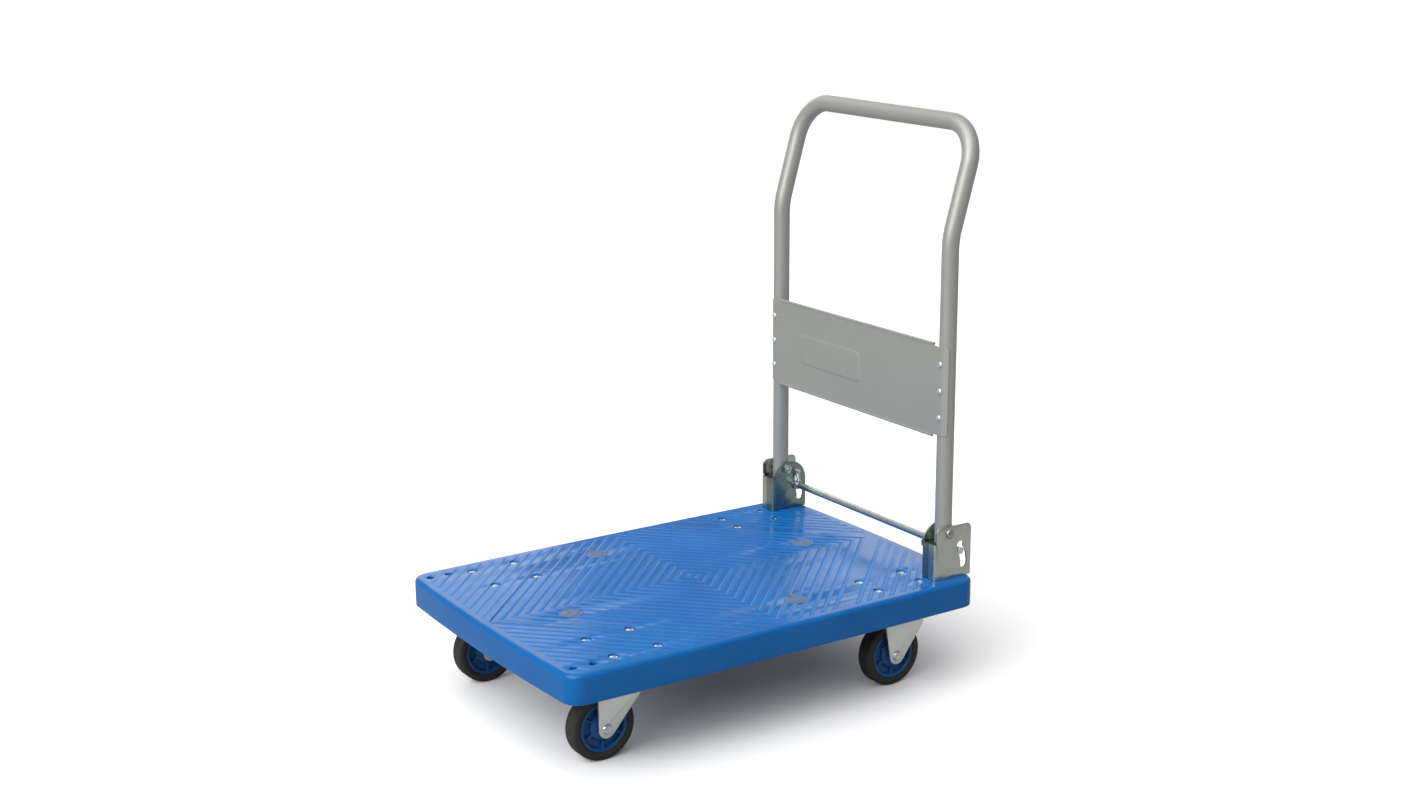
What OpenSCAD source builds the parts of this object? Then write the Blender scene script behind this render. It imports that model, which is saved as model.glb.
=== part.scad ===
// Folding platform cart: moulded deck on two swivel and two fixed casters,
// with a hinged push handle that a foot-operated rod locks upright.
// +Z up with the floor at zero, +X towards the handle, origin below the middle of the whole cart.

/* [Deck] */
// Overall length of the deck
deck_l = 725; // [650:5:900]
// Overall width of the deck
deck_w = 504; // [460:2:620]
// Height of the skirt round the deck
deck_h = 43; // [41:1:60]
// Height of the deck's rim above the caster plates
deck_rise = 34; // [30:1:50]
// How far the short ends bow outwards
bow_end = 8; // [2:1:14]
// How far the long sides bow outwards
bow_side = 3.5; // [1:0.5:8]
// Radius of the corners seen from above
corner_r = 24; // [16:1:40]
// Radius of the rounded top edge
edge_r = 7; // [3:1:9]
// Wall thickness of the skirt
skirt_t = 4; // [3:0.5:6]
// Thickness of the top skin
skin_t = 4; // [3:0.5:6]
// Thickness of the stiffening ribs underneath
rib_t = 2.5; // [2:0.5:4]
// Diameter of the round caps in the load field
cap_d = 32.8; // [24:0.2:40]
// Height of the ribbed load field above the rim
tread_h = 0.8; // [0.4:0.1:1]
// Width of the smooth rim round the load field
rim_w = 15; // [10:1:20]
// How far the round caps lie below the load field
cap_drop = 0.2; // [0:0.1:0.3]
// Diameter of the accessory holes at the free end
hole_d = 11; // [8:1:14]
// Spacing of the accessory holes along the deck
hole_pitch = 30.5; // [26:0.5:40]
// Distance from the deck's end to the outer accessory holes
hole_inset = 27.5; // [24:0.5:36]
// Distance from the deck's side to the accessory holes
hole_side = 33; // [28:1:44]

/* [Handle] */
// Outside diameter of the handle tube
tube_d = 26; // [22:1:30]
// Wall thickness of the handle tube
tube_t = 1.5; // [1.2:0.1:2.5]
// Distance between the centres of the two uprights
tube_gap = 423; // [380:1:430]
// Distance from the deck's end to the uprights
tube_inset = 46.5; // [40:0.5:60]
// Height of the grip bar's centre above the rim
bar_h = 683; // [620:1:760]
// Height above the rim where the uprights start to lean
lean_h = 520; // [460:1:540]
// Lean of the upper uprights, in degrees
lean = 16.26; // [5:0.01:20]
// Radius of the bend into the lean
lean_r = 120; // [80:5:160]
// Radius of the top corners
bar_r = 60; // [45:1:80]

/* [Panel] */
// Height of the panel's lower edge above the rim
panel_z = 219; // [200:1:240]
// Height of the panel
panel_h = 145; // [120:1:160]
// Thickness of the panel sheet
panel_t = 1.2; // [0.8:0.1:2]
// How far the panel wraps round each upright, in degrees
wrap_a = 42; // [20:1:70]
// Depth of the folded hems
hem_h = 8; // [5:1:14]
// Distance between neighbouring rivets
rivet_pitch = 41; // [30:1:45]

/* [Bracket] */
// Length of the bracket along the deck
bracket_l = 70; // [64:1:84]
// Height of the bracket
bracket_h = 83; // [80:1:90]
// Thickness of the bracket sheet
bracket_t = 2.5; // [2:0.5:4]
// Distance from the bracket's front to the upright's centre
bracket_front = 28; // [24:1:34]
// Height of the handle pivot above the rim
pivot_h = 71; // [66:1:72]
// Diameter of the pivot bolt
pivot_d = 8; // [6:1:10]
// Gap between the upright and each bracket plate
tube_play = 1; // [0.6:0.1:2]

/* [Lock] */
// Diameter of the lock rod
rod_d = 11; // [9:1:12]
// Distance from the upright's centre back to the lock rod
rod_back = 23.5; // [20:0.5:25]
// Height of the lock rod above the rim
rod_h = 39.5; // [36:0.5:42]
// Travel of the lock rod when it is pressed
rod_travel = 20.5; // [15:0.5:22]
// Travel of the lock rod upwards, to the top of its slots
rod_lift = 11; // [8:0.5:12]
// Backward slope of the rod's travel, in degrees
rod_slope = 11; // [5:1:15]
// Wire of the return springs
spring_wire = 1.2; // [0.8:0.1:1.6]
// Outside diameter of the return springs
spring_d = 7; // [6:0.5:8]

/* [Casters] */
// Diameter of the wheels
wheel_d = 100; // [90:1:104]
// Width of the tyres
tyre_w = 27; // [22:1:30]
// Thickness of the rubber round the hubs
tyre_t = 12.5; // [8:0.5:18]
// Height of the casters' upper faces above the top of their wheels
caster_rise = 30; // [26:1:50]
// Thickness of the caster sheet
plate_t = 3; // [2.5:0.5:4]
// Gap between the two cheeks of a fork
fork_gap = 38; // [34:1:44]
// Distance from the swivel axis back to the wheel's axle
trail = 38; // [30:1:42]
// Distance from the deck's middle to the swivel axes
swivel_x = 231; // [210:1:240]
// Distance from the centre line to the swivel axes
swivel_y = 173; // [160:1:176]
// Distance from the deck's middle to the fixed casters
fixed_x = 235; // [225:1:236]
// Distance from the centre line to the fixed casters
fixed_y = 186; // [176:1:188]
// Hole spacing of the swivel plates along the deck
swivel_px = 72; // [68:1:80]
// Hole spacing of the swivel plates across the deck
swivel_py = 75; // [70:1:80]
// Hole spacing of the fixed plates along the deck
fixed_px = 80; // [74:1:88]
// Hole spacing of the fixed plates across the deck
fixed_py = 46.5; // [46:0.5:54]
// Diameter of the caster bolts
bolt_d = 8; // [6:1:10]
// Diameter of the wells over the caster bolts
well_d = 15; // [14:0.5:18]
// Diameter of the wheel axles
axle_d = 8; // [6:1:10]

/* [Hidden] */
$fn = 48;

blue = [0.00, 0.36, 0.66];
navy = [0.05, 0.17, 0.38];
slate = [0.35, 0.47, 0.60];
silver = [0.64, 0.65, 0.64];
zinc = [0.72, 0.73, 0.70];
steel = [0.60, 0.61, 0.62];
rubber = [0.12, 0.12, 0.12];
plastic = [0.18, 0.18, 0.19];

run = 0.05;      // radial clearance of a running fit
slip = 0.2;      // radial clearance round a fixed bolt or plug
gap = 0.5;       // clearance between parts that pass each other
cut = 1;         // how far a cutter passes the surface it cuts
eps = 0.01;

// Heights of the deck
caster_h = wheel_d + caster_rise;
deck_top = caster_h + deck_rise;
deck_low = deck_top - deck_h;
skin_low = deck_top - skin_t;
cap_proud = tread_h - cap_drop;
rib_low = caster_h + 2;
axle_z = wheel_d / 2;

// Handle and bracket places, measured from the deck's middle
tube_x = deck_l / 2 - tube_inset;
tube_y = tube_gap / 2;
tube_r = tube_d / 2;
pivot_z = deck_top + pivot_h;
// The upright's lower end swings just clear of the lock rod at its middle height
tail = sqrt(pow(norm([rod_back, pivot_h - rod_h]) - rod_d / 2 - gap, 2) - pow(tube_r, 2));
tail_z = pivot_z - tail;
plug_rim = 2;
plug_depth = 12;
lean_start = deck_top + lean_h - lean_r * tan(lean / 2);
lean_x = tube_x + lean_r * (1 - cos(lean));
lean_z = lean_start + lean_r * sin(lean);
lean_l = (deck_top + bar_h - lean_z) / cos(lean) - bar_r;
bar_x = lean_x + (lean_l + bar_r) * sin(lean);
channel = tube_r + tube_play;
plate_y = tube_y + channel;
bracket_x = tube_x - bracket_front;
web_h = pivot_h - tube_r - 3 * gap;
base_bolt_inset = 15;
base_bolt_x = [bracket_x + base_bolt_inset, bracket_x + bracket_l - base_bolt_inset];
base_bolt_d = 8;
base_head_d = 16;
base_head_h = 4;
outer_step = 2;  // the outer plate's upper part starts this far behind its front web
inner_step = 2;  // the inner plate ends this far short of the outer one
inner_r = (bracket_l - inner_step) / 2;
block_lift = 3;
pivot_head_d = 15;
pivot_head_h = 3.6;
cross_slot = [7, 3, 1.4];
bush_t = 2;
hem_end = 4;     // gap between a hem's end and the upright

// Corners of the panel's raised field: across from the middle, and up from the lower edge
field = [[-148, 95], [15, 95], [19, 48], [-133, 48]];
emboss = 0.8;
rivet_d = 4;
rivet_head_d = 8;
rivet_head_h = 1.8;
rivet_tail = 2;

// Lock rod and its springs
rod_x = tube_x + rod_back;
rod_z = deck_top + rod_h;
slot_d = rod_d + 2 * gap;
clip_t = 1.2;
clip_w = 3;
groove = 1;
end_step = 1;    // the rod ends this far inside the outer plates
clip_y = tube_y - channel - bracket_t - gap - clip_t;
spring_y = clip_y - gap - spring_d / 2;
post_d = 4;
post_rise = 27;
post_head = 1.5;
coil_r = (spring_d - spring_wire) / 2;
rod_hook_r = rod_d / 2 + run + spring_wire / 2;
post_hook_r = post_d / 2 + run + spring_wire / 2;

// Casters
cheek_t = 2.5;
cheek_y = fork_gap / 2;
tip_r = 13.5;
cheek_reach = 50;
cheek_rise = 44;
flange_w = cheek_y - tyre_w / 2 - 1;
race_gap = 9;    // from the mounting plate down to the fork's crown
crown_z = caster_h - plate_t - race_gap;
crown_r = 36;
crown_step = 6;
flange_low = 12;
flange_taper = 20;
race_r = 22;
race_w = 11;
race_h = 3;
ball_r = 3;
ball_n = 20;
ball_z = (caster_h - plate_t + crown_z) / 2;
pin_d = 12;
pin_head_d = 24;
pin_head_h = 2.5;
pin_nut_d = 22;
pin_nut_gap = 0.3;
margin = 10;     // plate edge to hole centre
bolt_head_d = 13;
bolt_head_h = 5;
well_depth = 7.5;
washer_t = 1.5;
nut_h = 6.5;
nut_d = 14.6;
bolt_end = 1;    // how far a bolt stands out of its nut
axle_head_d = 16;
axle_head_h = 3;
hub_r = wheel_d / 2 - tyre_t;
boss_r = 12.5;
boss_w = fork_gap - 2;
rim_t = 5;
hub_w = tyre_w - 3;
web_t = 6;
spokes = 6;
spoke_t = 3;
spoke_step = 2;  // the spokes lie this far below the faces of the rim
shoulder = 5;
bush_r = axle_d / 2 + bush_t;

// The whole model is moved so that the origin lies below the middle of its outline
front_end = max(deck_l / 2, bar_x + tube_r);
frame_x = (deck_l / 2 - front_end) / 2;

swivel_holes = [for (i = [-1, 1], j = [-1, 1]) [i * swivel_px / 2, j * swivel_py / 2]];
fixed_holes = [for (i = [-1, 1], j = [-1, 1]) [i * fixed_px / 2, j * fixed_py / 2]];
caster_holes = concat(
    [for (s = [-1, 1], h = swivel_holes) [h.x - swivel_x, h.y + s * swivel_y]],
    [for (s = [-1, 1], h = fixed_holes) [h.x + fixed_x, h.y + s * fixed_y]]);
bracket_holes = [for (s = [-1, 1], x = base_bolt_x) [x, s * tube_y]];
cap_places = [[-233, -35], [233, 35], [70, -171], [-70, 171]];
accessory_holes = [for (s = [-1, 1], i = [0, 1])
    [hole_inset - deck_l / 2 + i * hole_pitch, s * (deck_w / 2 - hole_side)]];

module place() {
    translate([frame_x, 0, 0]) children();
}

// Draws its children at the near side, or mirrored to the far side
module side(far = false) {
    if (far) mirror([0, 1, 0]) children();
    else children();
}

module both_sides() {
    children();
    mirror([0, 1, 0]) children();
}

// A cylinder along Y from y0 to y1, at x and z
module rod_y(x, z, y0, y1, r) {
    translate([x, y0, z]) rotate([-90, 0, 0]) cylinder(r = r, h = y1 - y0);
}

module tube_ring(r_out, r_in, h) {
    difference() {
        cylinder(r = r_out, h = h);
        translate([0, 0, -cut]) cylinder(r = r_in, h = h + 2 * cut);
    }
}

// Six-sided nut standing on its lower face
module nut(d_out, d_hole, h) {
    difference() {
        cylinder(d = d_out, h = h, $fn = 6);
        translate([0, 0, -cut]) cylinder(d = d_hole, h = h + 2 * cut);
    }
}

/* ---------- deck ---------- */

corner_n = 6;
side_n = 6;
edge_n = 4;
ribs_x = 4;
ribs_y = 3;
pad_wall = 4;

function bowed(p, a, b) = [
    p.x + sign(p.x) * bow_end * (1 - pow(p.y / b, 2)),
    p.y + sign(p.y) * bow_side * (1 - pow(p.x / a, 2))];

// Deck outline seen from above, moved inwards by d
function outline(d) =
    let (a = deck_l / 2 - bow_end - d, b = deck_w / 2 - bow_side - d, r = corner_r - d)
    let (middles = [[a - r, b - r], [r - a, b - r], [r - a, r - b], [a - r, r - b]])
    let (arcs = [for (q = [0:3]) [for (i = [0:corner_n])
        let (t = 90 * q + 90 * i / corner_n) middles[q] + r * [cos(t), sin(t)]]])
    [for (q = [0:3])
        let (from = arcs[q][corner_n], to = arcs[(q + 1) % 4][0])
        each concat(
            [for (p = arcs[q]) bowed(p, a, b)],
            [for (i = [1:side_n - 1]) bowed(from + (to - from) * i / side_n, a, b)])];

module deck_shell() {
    hull() {
        translate([0, 0, deck_low]) linear_extrude(deck_h - edge_r) polygon(outline(0));
        for (i = [1:edge_n])
            let (t = 90 * i / edge_n)
                translate([0, 0, deck_low])
                    linear_extrude(deck_h - edge_r + edge_r * sin(t))
                        polygon(outline(edge_r * (1 - cos(t))));
    }
}

module cavity(extra = 0) {
    translate([0, 0, deck_low - cut])
        linear_extrude(skin_low - deck_low + cut + extra) polygon(outline(skirt_t - extra));
}

// The ribbed field that the load stands on, as one flat pad that stops short of the brackets
module load_field() {
    clear = tube_y - channel - bracket_t - 2 * gap;
    translate([0, 0, deck_top - eps]) linear_extrude(tread_h + eps) difference() {
        polygon(outline(rim_w));
        for (s = [0, 1]) mirror([0, s])
            translate([bracket_x - 2 * gap, clear]) square([deck_l, deck_w]);
    }
}

// Walled pad that carries one caster plate
module caster_pad(x, y, lx, ly) {
    wall = pad_wall;
    h = skin_low - caster_h + eps;
    translate([x, y, caster_h]) {
        difference() {
            translate([-lx / 2, -ly / 2, 0]) cube([lx, ly, h]);
            translate([wall - lx / 2, wall - ly / 2, -cut])
                cube([lx - 2 * wall, ly - 2 * wall, h + 2 * cut]);
        }
        translate([-lx / 2, -rib_t / 2, 0]) cube([lx, rib_t, h]);
        translate([-rib_t / 2, -ly / 2, 0]) cube([rib_t, ly, h]);
    }
}

module deck_ribs() {
    h = skin_low - rib_low + eps;
    pitch_x = deck_l / (2 * ribs_x + 2);
    pitch_y = deck_w / (2 * ribs_y + 2);
    for (i = [-ribs_y:ribs_y])
        translate([-deck_l / 2, i * pitch_y - rib_t / 2, rib_low]) cube([deck_l, rib_t, h]);
    for (i = [-ribs_x:ribs_x])
        translate([i * pitch_x - rib_t / 2, -deck_w / 2, rib_low]) cube([rib_t, deck_w, h]);
}

module deck() {
    boss_d = well_d + 2 * pad_wall;
    color(blue) place() difference() {
        union() {
            difference() {
                deck_shell();
                cavity();
            }
            load_field();
            intersection() {
                union() {
                    deck_ribs();
                    for (s = [-1, 1]) {
                        caster_pad(-swivel_x, s * swivel_y, swivel_px + boss_d, swivel_py + boss_d);
                        caster_pad(fixed_x, s * fixed_y, fixed_px + boss_d, fixed_py + boss_d);
                    }
                    for (p = caster_holes)
                        translate([p.x, p.y, caster_h]) cylinder(d = boss_d, h = skin_low - caster_h + eps);
                    for (p = bracket_holes)
                        translate([p.x, p.y, rib_low]) cylinder(d = boss_d, h = skin_low - rib_low + eps);
                }
                cavity(skirt_t / 2);
            }
        }
        for (p = caster_holes) translate([p.x, p.y, 0]) {
            translate([0, 0, deck_low]) cylinder(r = bolt_d / 2 + slip, h = deck_h + cut);
            translate([0, 0, deck_top - well_depth]) cylinder(d = well_d, h = well_depth + tread_h + cut);
        }
        for (p = bracket_holes)
            translate([p.x, p.y, deck_low]) cylinder(r = base_bolt_d / 2 + slip, h = deck_h + cut);
        for (p = accessory_holes)
            translate([p.x, p.y, deck_low]) cylinder(d = hole_d, h = deck_h + tread_h + cut);
        for (p = cap_places)
            translate([p.x, p.y, deck_top - skin_t / 2]) cylinder(r = cap_d / 2 + slip, h = skin_t);
        for (s = [-1, 1])
            translate([-swivel_x, s * swivel_y, deck_low])
                cylinder(r = pin_head_d / 2 + gap, h = caster_h - deck_low + pin_head_h + gap);
    }
}

module deck_caps() {
    color(slate) place() for (p = cap_places)
        translate([p.x, p.y, deck_top - skin_t / 2]) {
            cylinder(d = cap_d, h = skin_t / 2);
            translate([0, 0, skin_t / 2]) cylinder(d1 = cap_d, d2 = cap_d - 2 * cap_proud, h = cap_proud);
        }
}

/* ---------- hinge brackets ---------- */

// Slot for the lock rod, seen from the side: a slanted run with an offset lobe at each end
module rod_slot() {
    lobe = 1.6;
    high = rod_lift - 1;
    low = 3 - rod_travel;
    r = slot_d / 2;
    rotate([0, 0, rod_slope]) {
        translate([-r, -rod_travel]) square([slot_d, rod_travel + rod_lift]);
        for (y = [-rod_travel, rod_lift]) translate([0, y]) circle(r = r);
        translate([-lobe, high]) circle(r = r);
        translate([-lobe - r, r]) square([slot_d, high - r]);
        translate([lobe, low]) circle(r = r);
        translate([lobe - r, low]) square([slot_d, -low - r]);
    }
}

module rounded_rect(w, h, r) {
    translate([r, 0]) square([w - 2 * r, h]);
    translate([0, r]) square([w, h - 2 * r]);
    for (x = [r, w - r], y = [r, h - r]) translate([x, y]) circle(r = r);
}

// Stands a flat shape, drawn in x and z, at y0 and thickens it towards +Y
module stand(y0, t) {
    translate([0, y0 + t, 0]) rotate([90, 0, 0]) linear_extrude(t) children();
}

module bracket_holes_side() {
    translate([tube_x, pivot_z]) circle(r = pivot_d / 2 + run);
    translate([rod_x, rod_z]) rod_slot();
}

module bracket_outer() {
    corner = 8;
    color(zinc) place() {
        stand(-plate_y - bracket_t, bracket_t) difference() {
            translate([bracket_x, deck_top]) {
                translate([outer_step, 0]) rounded_rect(bracket_l - outer_step, bracket_h, corner);
                square([bracket_l, bracket_h / 2]);
                square([corner, web_h]);
            }
            bracket_holes_side();
        }
        translate([bracket_x, -plate_y, deck_top]) cube([bracket_t, channel, web_h]);
    }
}

module bracket_inner() {
    y_in = channel - tube_y;
    color(zinc) place() {
        stand(y_in, bracket_t) difference() {
            translate([bracket_x, deck_top]) {
                square([2 * inner_r, bracket_h - inner_r]);
                translate([inner_r, bracket_h - inner_r]) circle(r = inner_r);
            }
            bracket_holes_side();
        }
        translate([bracket_x, -tube_y, deck_top]) cube([bracket_t, channel, web_h]);
        difference() {
            translate([bracket_x + bracket_t, -plate_y, deck_top])
                cube([bracket_l - bracket_t - inner_step, 2 * channel, bracket_t]);
            for (x = base_bolt_x)
                translate([x, -tube_y, deck_top - cut])
                    cylinder(r = base_bolt_d / 2 + slip, h = bracket_t + 2 * cut);
        }
    }
}

module bracket_outer_near() { bracket_outer(); }
module bracket_outer_far() { side(true) bracket_outer(); }
module bracket_inner_near() { bracket_inner(); }
module bracket_inner_far() { side(true) bracket_inner(); }

module bracket_bolts() {
    low = rib_low - nut_h - bolt_end;
    color(steel) place() for (p = bracket_holes)
        translate([p.x, p.y, 0]) {
            translate([0, 0, deck_top + bracket_t])
                cylinder(d1 = base_head_d, d2 = base_bolt_d, h = base_head_h);
            translate([0, 0, low]) cylinder(d = base_bolt_d, h = deck_top + bracket_t - low + eps);
        }
}

module bracket_nuts() {
    color(steel) place() for (p = bracket_holes)
        translate([p.x, p.y, rib_low - nut_h]) nut(nut_d, base_bolt_d + 2 * run, nut_h);
}

// Moulded block that stops the upright's tail when the handle stands up
module stop_blocks() {
    x0 = bracket_x + bracket_t;
    low = tail_z + block_lift;
    w = 0.8 * tube_d;
    color(plastic) place() both_sides()
        translate([x0, -tube_y - w / 2, low])
            cube([tube_x - tube_r - gap - x0, w, deck_top + web_h - gap - low]);
}

module pivot_bolts() {
    y_head = -plate_y - bracket_t;
    y_end = channel - tube_y + bracket_t + nut_h + bolt_end;
    color(steel) place() both_sides() difference() {
        union() {
            rod_y(tube_x, pivot_z, y_head - eps, y_end, pivot_d / 2);
            translate([tube_x, y_head, pivot_z]) rotate([90, 0, 0])
                cylinder(d1 = pivot_head_d, d2 = 0.7 * pivot_head_d, h = pivot_head_h);
        }
        for (a = [0, 90])
            translate([tube_x, y_head - pivot_head_h, pivot_z]) rotate([0, a, 0])
                cube(cross_slot, center = true);
    }
}

module pivot_nuts() {
    color(steel) place() both_sides()
        translate([tube_x, channel - tube_y + bracket_t, pivot_z]) rotate([-90, 0, 0])
            nut(nut_d, pivot_d + 2 * run, nut_h);
}

module spring_place() {
    translate([rod_x, -spring_y, rod_z]) rotate([0, -rod_slope, 0]) children();
}

module spring_posts() {
    y_in = -tube_y + channel + bracket_t;
    y_out = spring_d / 2 - spring_y + gap;
    color(steel) place() both_sides() spring_place() translate([0, spring_y, post_rise]) {
        rod_y(0, 0, y_in, y_out, post_d / 2);
        rod_y(0, 0, y_out, y_out + post_head, post_d / 2 + post_head);
    }
}

/* ---------- handle ---------- */

tube_sides = 24;
bend_steps = 4;
corner_steps = 8;

// Stations along the near half of the tube: [centre, direction, lean at that place]
function half_path(low) =
    let (along = [sin(lean), 0, cos(lean)])
    concat(
        [[[tube_x, -tube_y, low], [0, 0, 1], 0]],
        [for (i = [0:bend_steps])
            let (a = lean * i / bend_steps, b = lean_r * [1 - cos(a), 0, sin(a)])
                [[tube_x, -tube_y, lean_start] + b, [sin(a), 0, cos(a)], a]],
        [for (i = [0:corner_steps]) let (a = 90 * i / corner_steps)
            [[lean_x, bar_r * (1 - cos(a)) - tube_y, lean_z] + (lean_l + bar_r * sin(a)) * along,
            cos(a) * along + [0, sin(a), 0], lean]]);

// The same station on the far half, passed in the other direction
function mirrored(q) = [[q[0].x, -q[0].y, q[0].z], [-q[1].x, q[1].y, -q[1].z], q[2]];

function ring(q, r) =
    let (u = [cos(q[2]), 0, -sin(q[2])], v = cross(q[1], u))
    [for (i = [0:tube_sides - 1])
        let (a = 360 * i / tube_sides) q[0] + r * (cos(a) * u + sin(a) * v)];

// The whole bent handle as a solid bar of radius r, from the height low of its two ends
module handle_bar(r, low) {
    half = half_path(low);
    path = concat(half, [for (i = [len(half) - 1:-1:0]) mirrored(half[i])]);
    n = tube_sides;
    last = len(path) - 1;
    sides = [for (k = [0:last - 1], i = [0:n - 1])
        [k * n + i, (k + 1) * n + i, (k + 1) * n + (i + 1) % n, k * n + (i + 1) % n]];
    caps = [[for (i = [0:n - 1]) i], [for (i = [n - 1:-1:0]) last * n + i]];
    polyhedron([for (q = path) each ring(q, r)], concat(sides, caps));
}

rivet_z = [for (i = [-1:1]) deck_top + panel_z + panel_h / 2 + i * rivet_pitch];

module handle_tube() {
    color(silver) place() difference() {
        handle_bar(tube_r, tail_z + plug_rim);
        handle_bar(tube_r - tube_t, tail_z + plug_rim - cut);
        both_sides() {
            rod_y(tube_x, pivot_z, -tube_y - tube_d, tube_d - tube_y, pivot_d / 2 + bush_t + slip);
            for (z = rivet_z)
                translate([tube_x - tube_d, -tube_y, z]) rotate([0, 90, 0])
                    cylinder(r = rivet_d / 2 + run, h = tube_d);
        }
    }
}

module handle_end_plugs() {
    color(plastic) place() both_sides() translate([tube_x, -tube_y, tail_z]) {
        cylinder(r = tube_r, h = plug_rim);
        translate([0, 0, plug_rim - eps])
            cylinder(r = (tube_r - tube_t) * cos(180 / tube_sides) - run, h = plug_depth);
    }
}

module pivot_bushes() {
    y0 = gap / 2 - plate_y;
    l = 2 * channel - gap;
    color(steel) place() both_sides() difference() {
        rod_y(tube_x, pivot_z, y0, y0 + l, pivot_d / 2 + bush_t);
        rod_y(tube_x, pivot_z, y0 - cut, y0 + l + cut, pivot_d / 2 + run);
    }
}

module handle_panel() {
    x_back = tube_x - tube_r - run;
    hem_y = tube_y - tube_r - hem_end;
    low = deck_top + panel_z;
    color(silver) place() difference() {
        union() {
            translate([x_back - panel_t, -tube_y, low]) cube([panel_t, 2 * tube_y, panel_h]);
            both_sides() translate([tube_x, -tube_y, low]) rotate([0, 0, 180])
                rotate_extrude(angle = wrap_a) translate([tube_r + run, 0]) square([panel_t, panel_h]);
            for (z = [low, low + panel_h - hem_h])
                translate([x_back - eps, -hem_y, z]) cube([panel_t, 2 * hem_y, hem_h]);
            translate([x_back - panel_t - emboss, 0, low]) rotate([90, 0, 90])
                linear_extrude(emboss + eps) mirror([1, 0]) polygon(field);
        }
        both_sides() for (z = rivet_z)
            translate([tube_x - tube_d, -tube_y, z]) rotate([0, 90, 0])
                cylinder(r = rivet_d / 2 + run, h = tube_d);
    }
}

module panel_rivets() {
    x_front = tube_x - tube_r - run - panel_t;
    depth = panel_t + tube_t + rivet_tail;
    color(silver) place() both_sides() for (z = rivet_z)
        translate([x_front, -tube_y, z]) rotate([0, -90, 0]) {
            cylinder(d1 = rivet_head_d, d2 = rivet_d, h = rivet_head_h);
            translate([0, 0, -depth]) cylinder(d = rivet_d, h = depth + eps);
        }
}

/* ---------- lock rod ---------- */

module lock_rod() {
    end_y = plate_y + bracket_t - end_step;
    color(zinc) place() difference() {
        rod_y(rod_x, rod_z, -end_y, end_y, rod_d / 2);
        both_sides() translate([rod_x, -clip_y, rod_z]) rotate([90, 0, 0])
            tube_ring(rod_d, rod_d / 2 - groove, clip_t + 2 * run);
    }
}

module rod_clips() {
    neck_r = rod_d / 2 - groove;
    color(steel) place() both_sides()
        translate([rod_x, -clip_y - run, rod_z]) rotate([90, 0, 0]) difference() {
            cylinder(r = rod_d / 2 + clip_w, h = clip_t);
            translate([0, 0, -cut]) cylinder(r = neck_r + run, h = clip_t + 2 * cut);
            translate([0, -neck_r - run, -cut]) cube([rod_d, 2 * (neck_r + run), clip_t + 2 * cut]);
        }
}

module torus(r, wire) {
    rotate_extrude() translate([r, 0]) circle(d = wire);
}

// Close-wound pull spring with an eye round the rod and an eye round its post
module lock_springs() {
    root = 0.1;      // how deep the core runs into the two eyes
    ridge = 0.6;     // share of the wire's thickness that each turn's ridge takes
    start = rod_hook_r + spring_wire;
    end = post_rise - post_hook_r - spring_wire;
    turns = floor((end - start) / spring_wire);
    color(steel) place() both_sides() spring_place() {
        rotate([90, 0, 0]) torus(rod_hook_r, spring_wire);
        translate([0, 0, post_rise]) rotate([90, 0, 0]) torus(post_hook_r, spring_wire);
        translate([0, 0, rod_hook_r - root])
            cylinder(r = coil_r, h = end - rod_hook_r + 2 * root + spring_wire);
        for (i = [0:turns])
            translate([0, 0, start + i * spring_wire]) cylinder(r = spring_d / 2, h = ridge * spring_wire);
    }
}

/* ---------- caster fasteners ---------- */

module caster_bolts() {
    low = caster_h - plate_t - nut_h - bolt_end;
    seat = deck_top - well_depth + washer_t;
    color(steel) place() for (p = caster_holes)
        translate([p.x, p.y, 0]) {
            translate([0, 0, low]) cylinder(d = bolt_d, h = seat - low + eps);
            translate([0, 0, seat]) cylinder(d = bolt_head_d, h = bolt_head_h, $fn = 6);
        }
}

module caster_washers() {
    color(steel) place() for (p = caster_holes)
        translate([p.x, p.y, deck_top - well_depth])
            tube_ring(well_d / 2 - slip, bolt_d / 2 + run, washer_t);
}

module caster_nuts() {
    color(steel) place() for (p = caster_holes)
        translate([p.x, p.y, caster_h - plate_t - nut_h]) nut(nut_d, bolt_d + 2 * run, nut_h);
}

// Mounting plate with four holes, upper face at the mounting height
module mount_plate(holes, lx, ly) {
    difference() {
        translate([-lx / 2, -ly / 2, caster_h - plate_t]) cube([lx, ly, plate_t]);
        for (h = holes)
            translate([h.x, h.y, caster_h - plate_t - cut])
                cylinder(r = bolt_d / 2 + slip, h = plate_t + 2 * cut);
    }
}

// Ball race: a ring with a round groove, from z0 up or down by race_h
module race(z0) {
    translate([0, 0, z0]) tube_ring(race_r + race_w / 2, race_r - race_w / 2, race_h);
}

module race_groove() {
    translate([0, 0, ball_z]) torus(race_r, 2 * (ball_r + run));
}

// One cheek of a fork in side view, with the axle at the origin and +x away from the trailing side
function tangent_angle(px, py, r) = atan2(py, px) - acos(r / norm([px, py]));

module cheek_shape(top, reach) {
    slope = cheek_reach / cheek_rise;
    reach_z = min(top, reach / slope);
    t = tangent_angle(reach_z * slope, reach_z, tip_r);
    circle(r = tip_r);
    polygon([
        [-tip_r, 0],
        [0, 0],
        tip_r * [cos(t), sin(t)],
        [reach_z * slope, reach_z],
        [reach_z * slope, top],
        [-tip_r, top]]);
}

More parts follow.
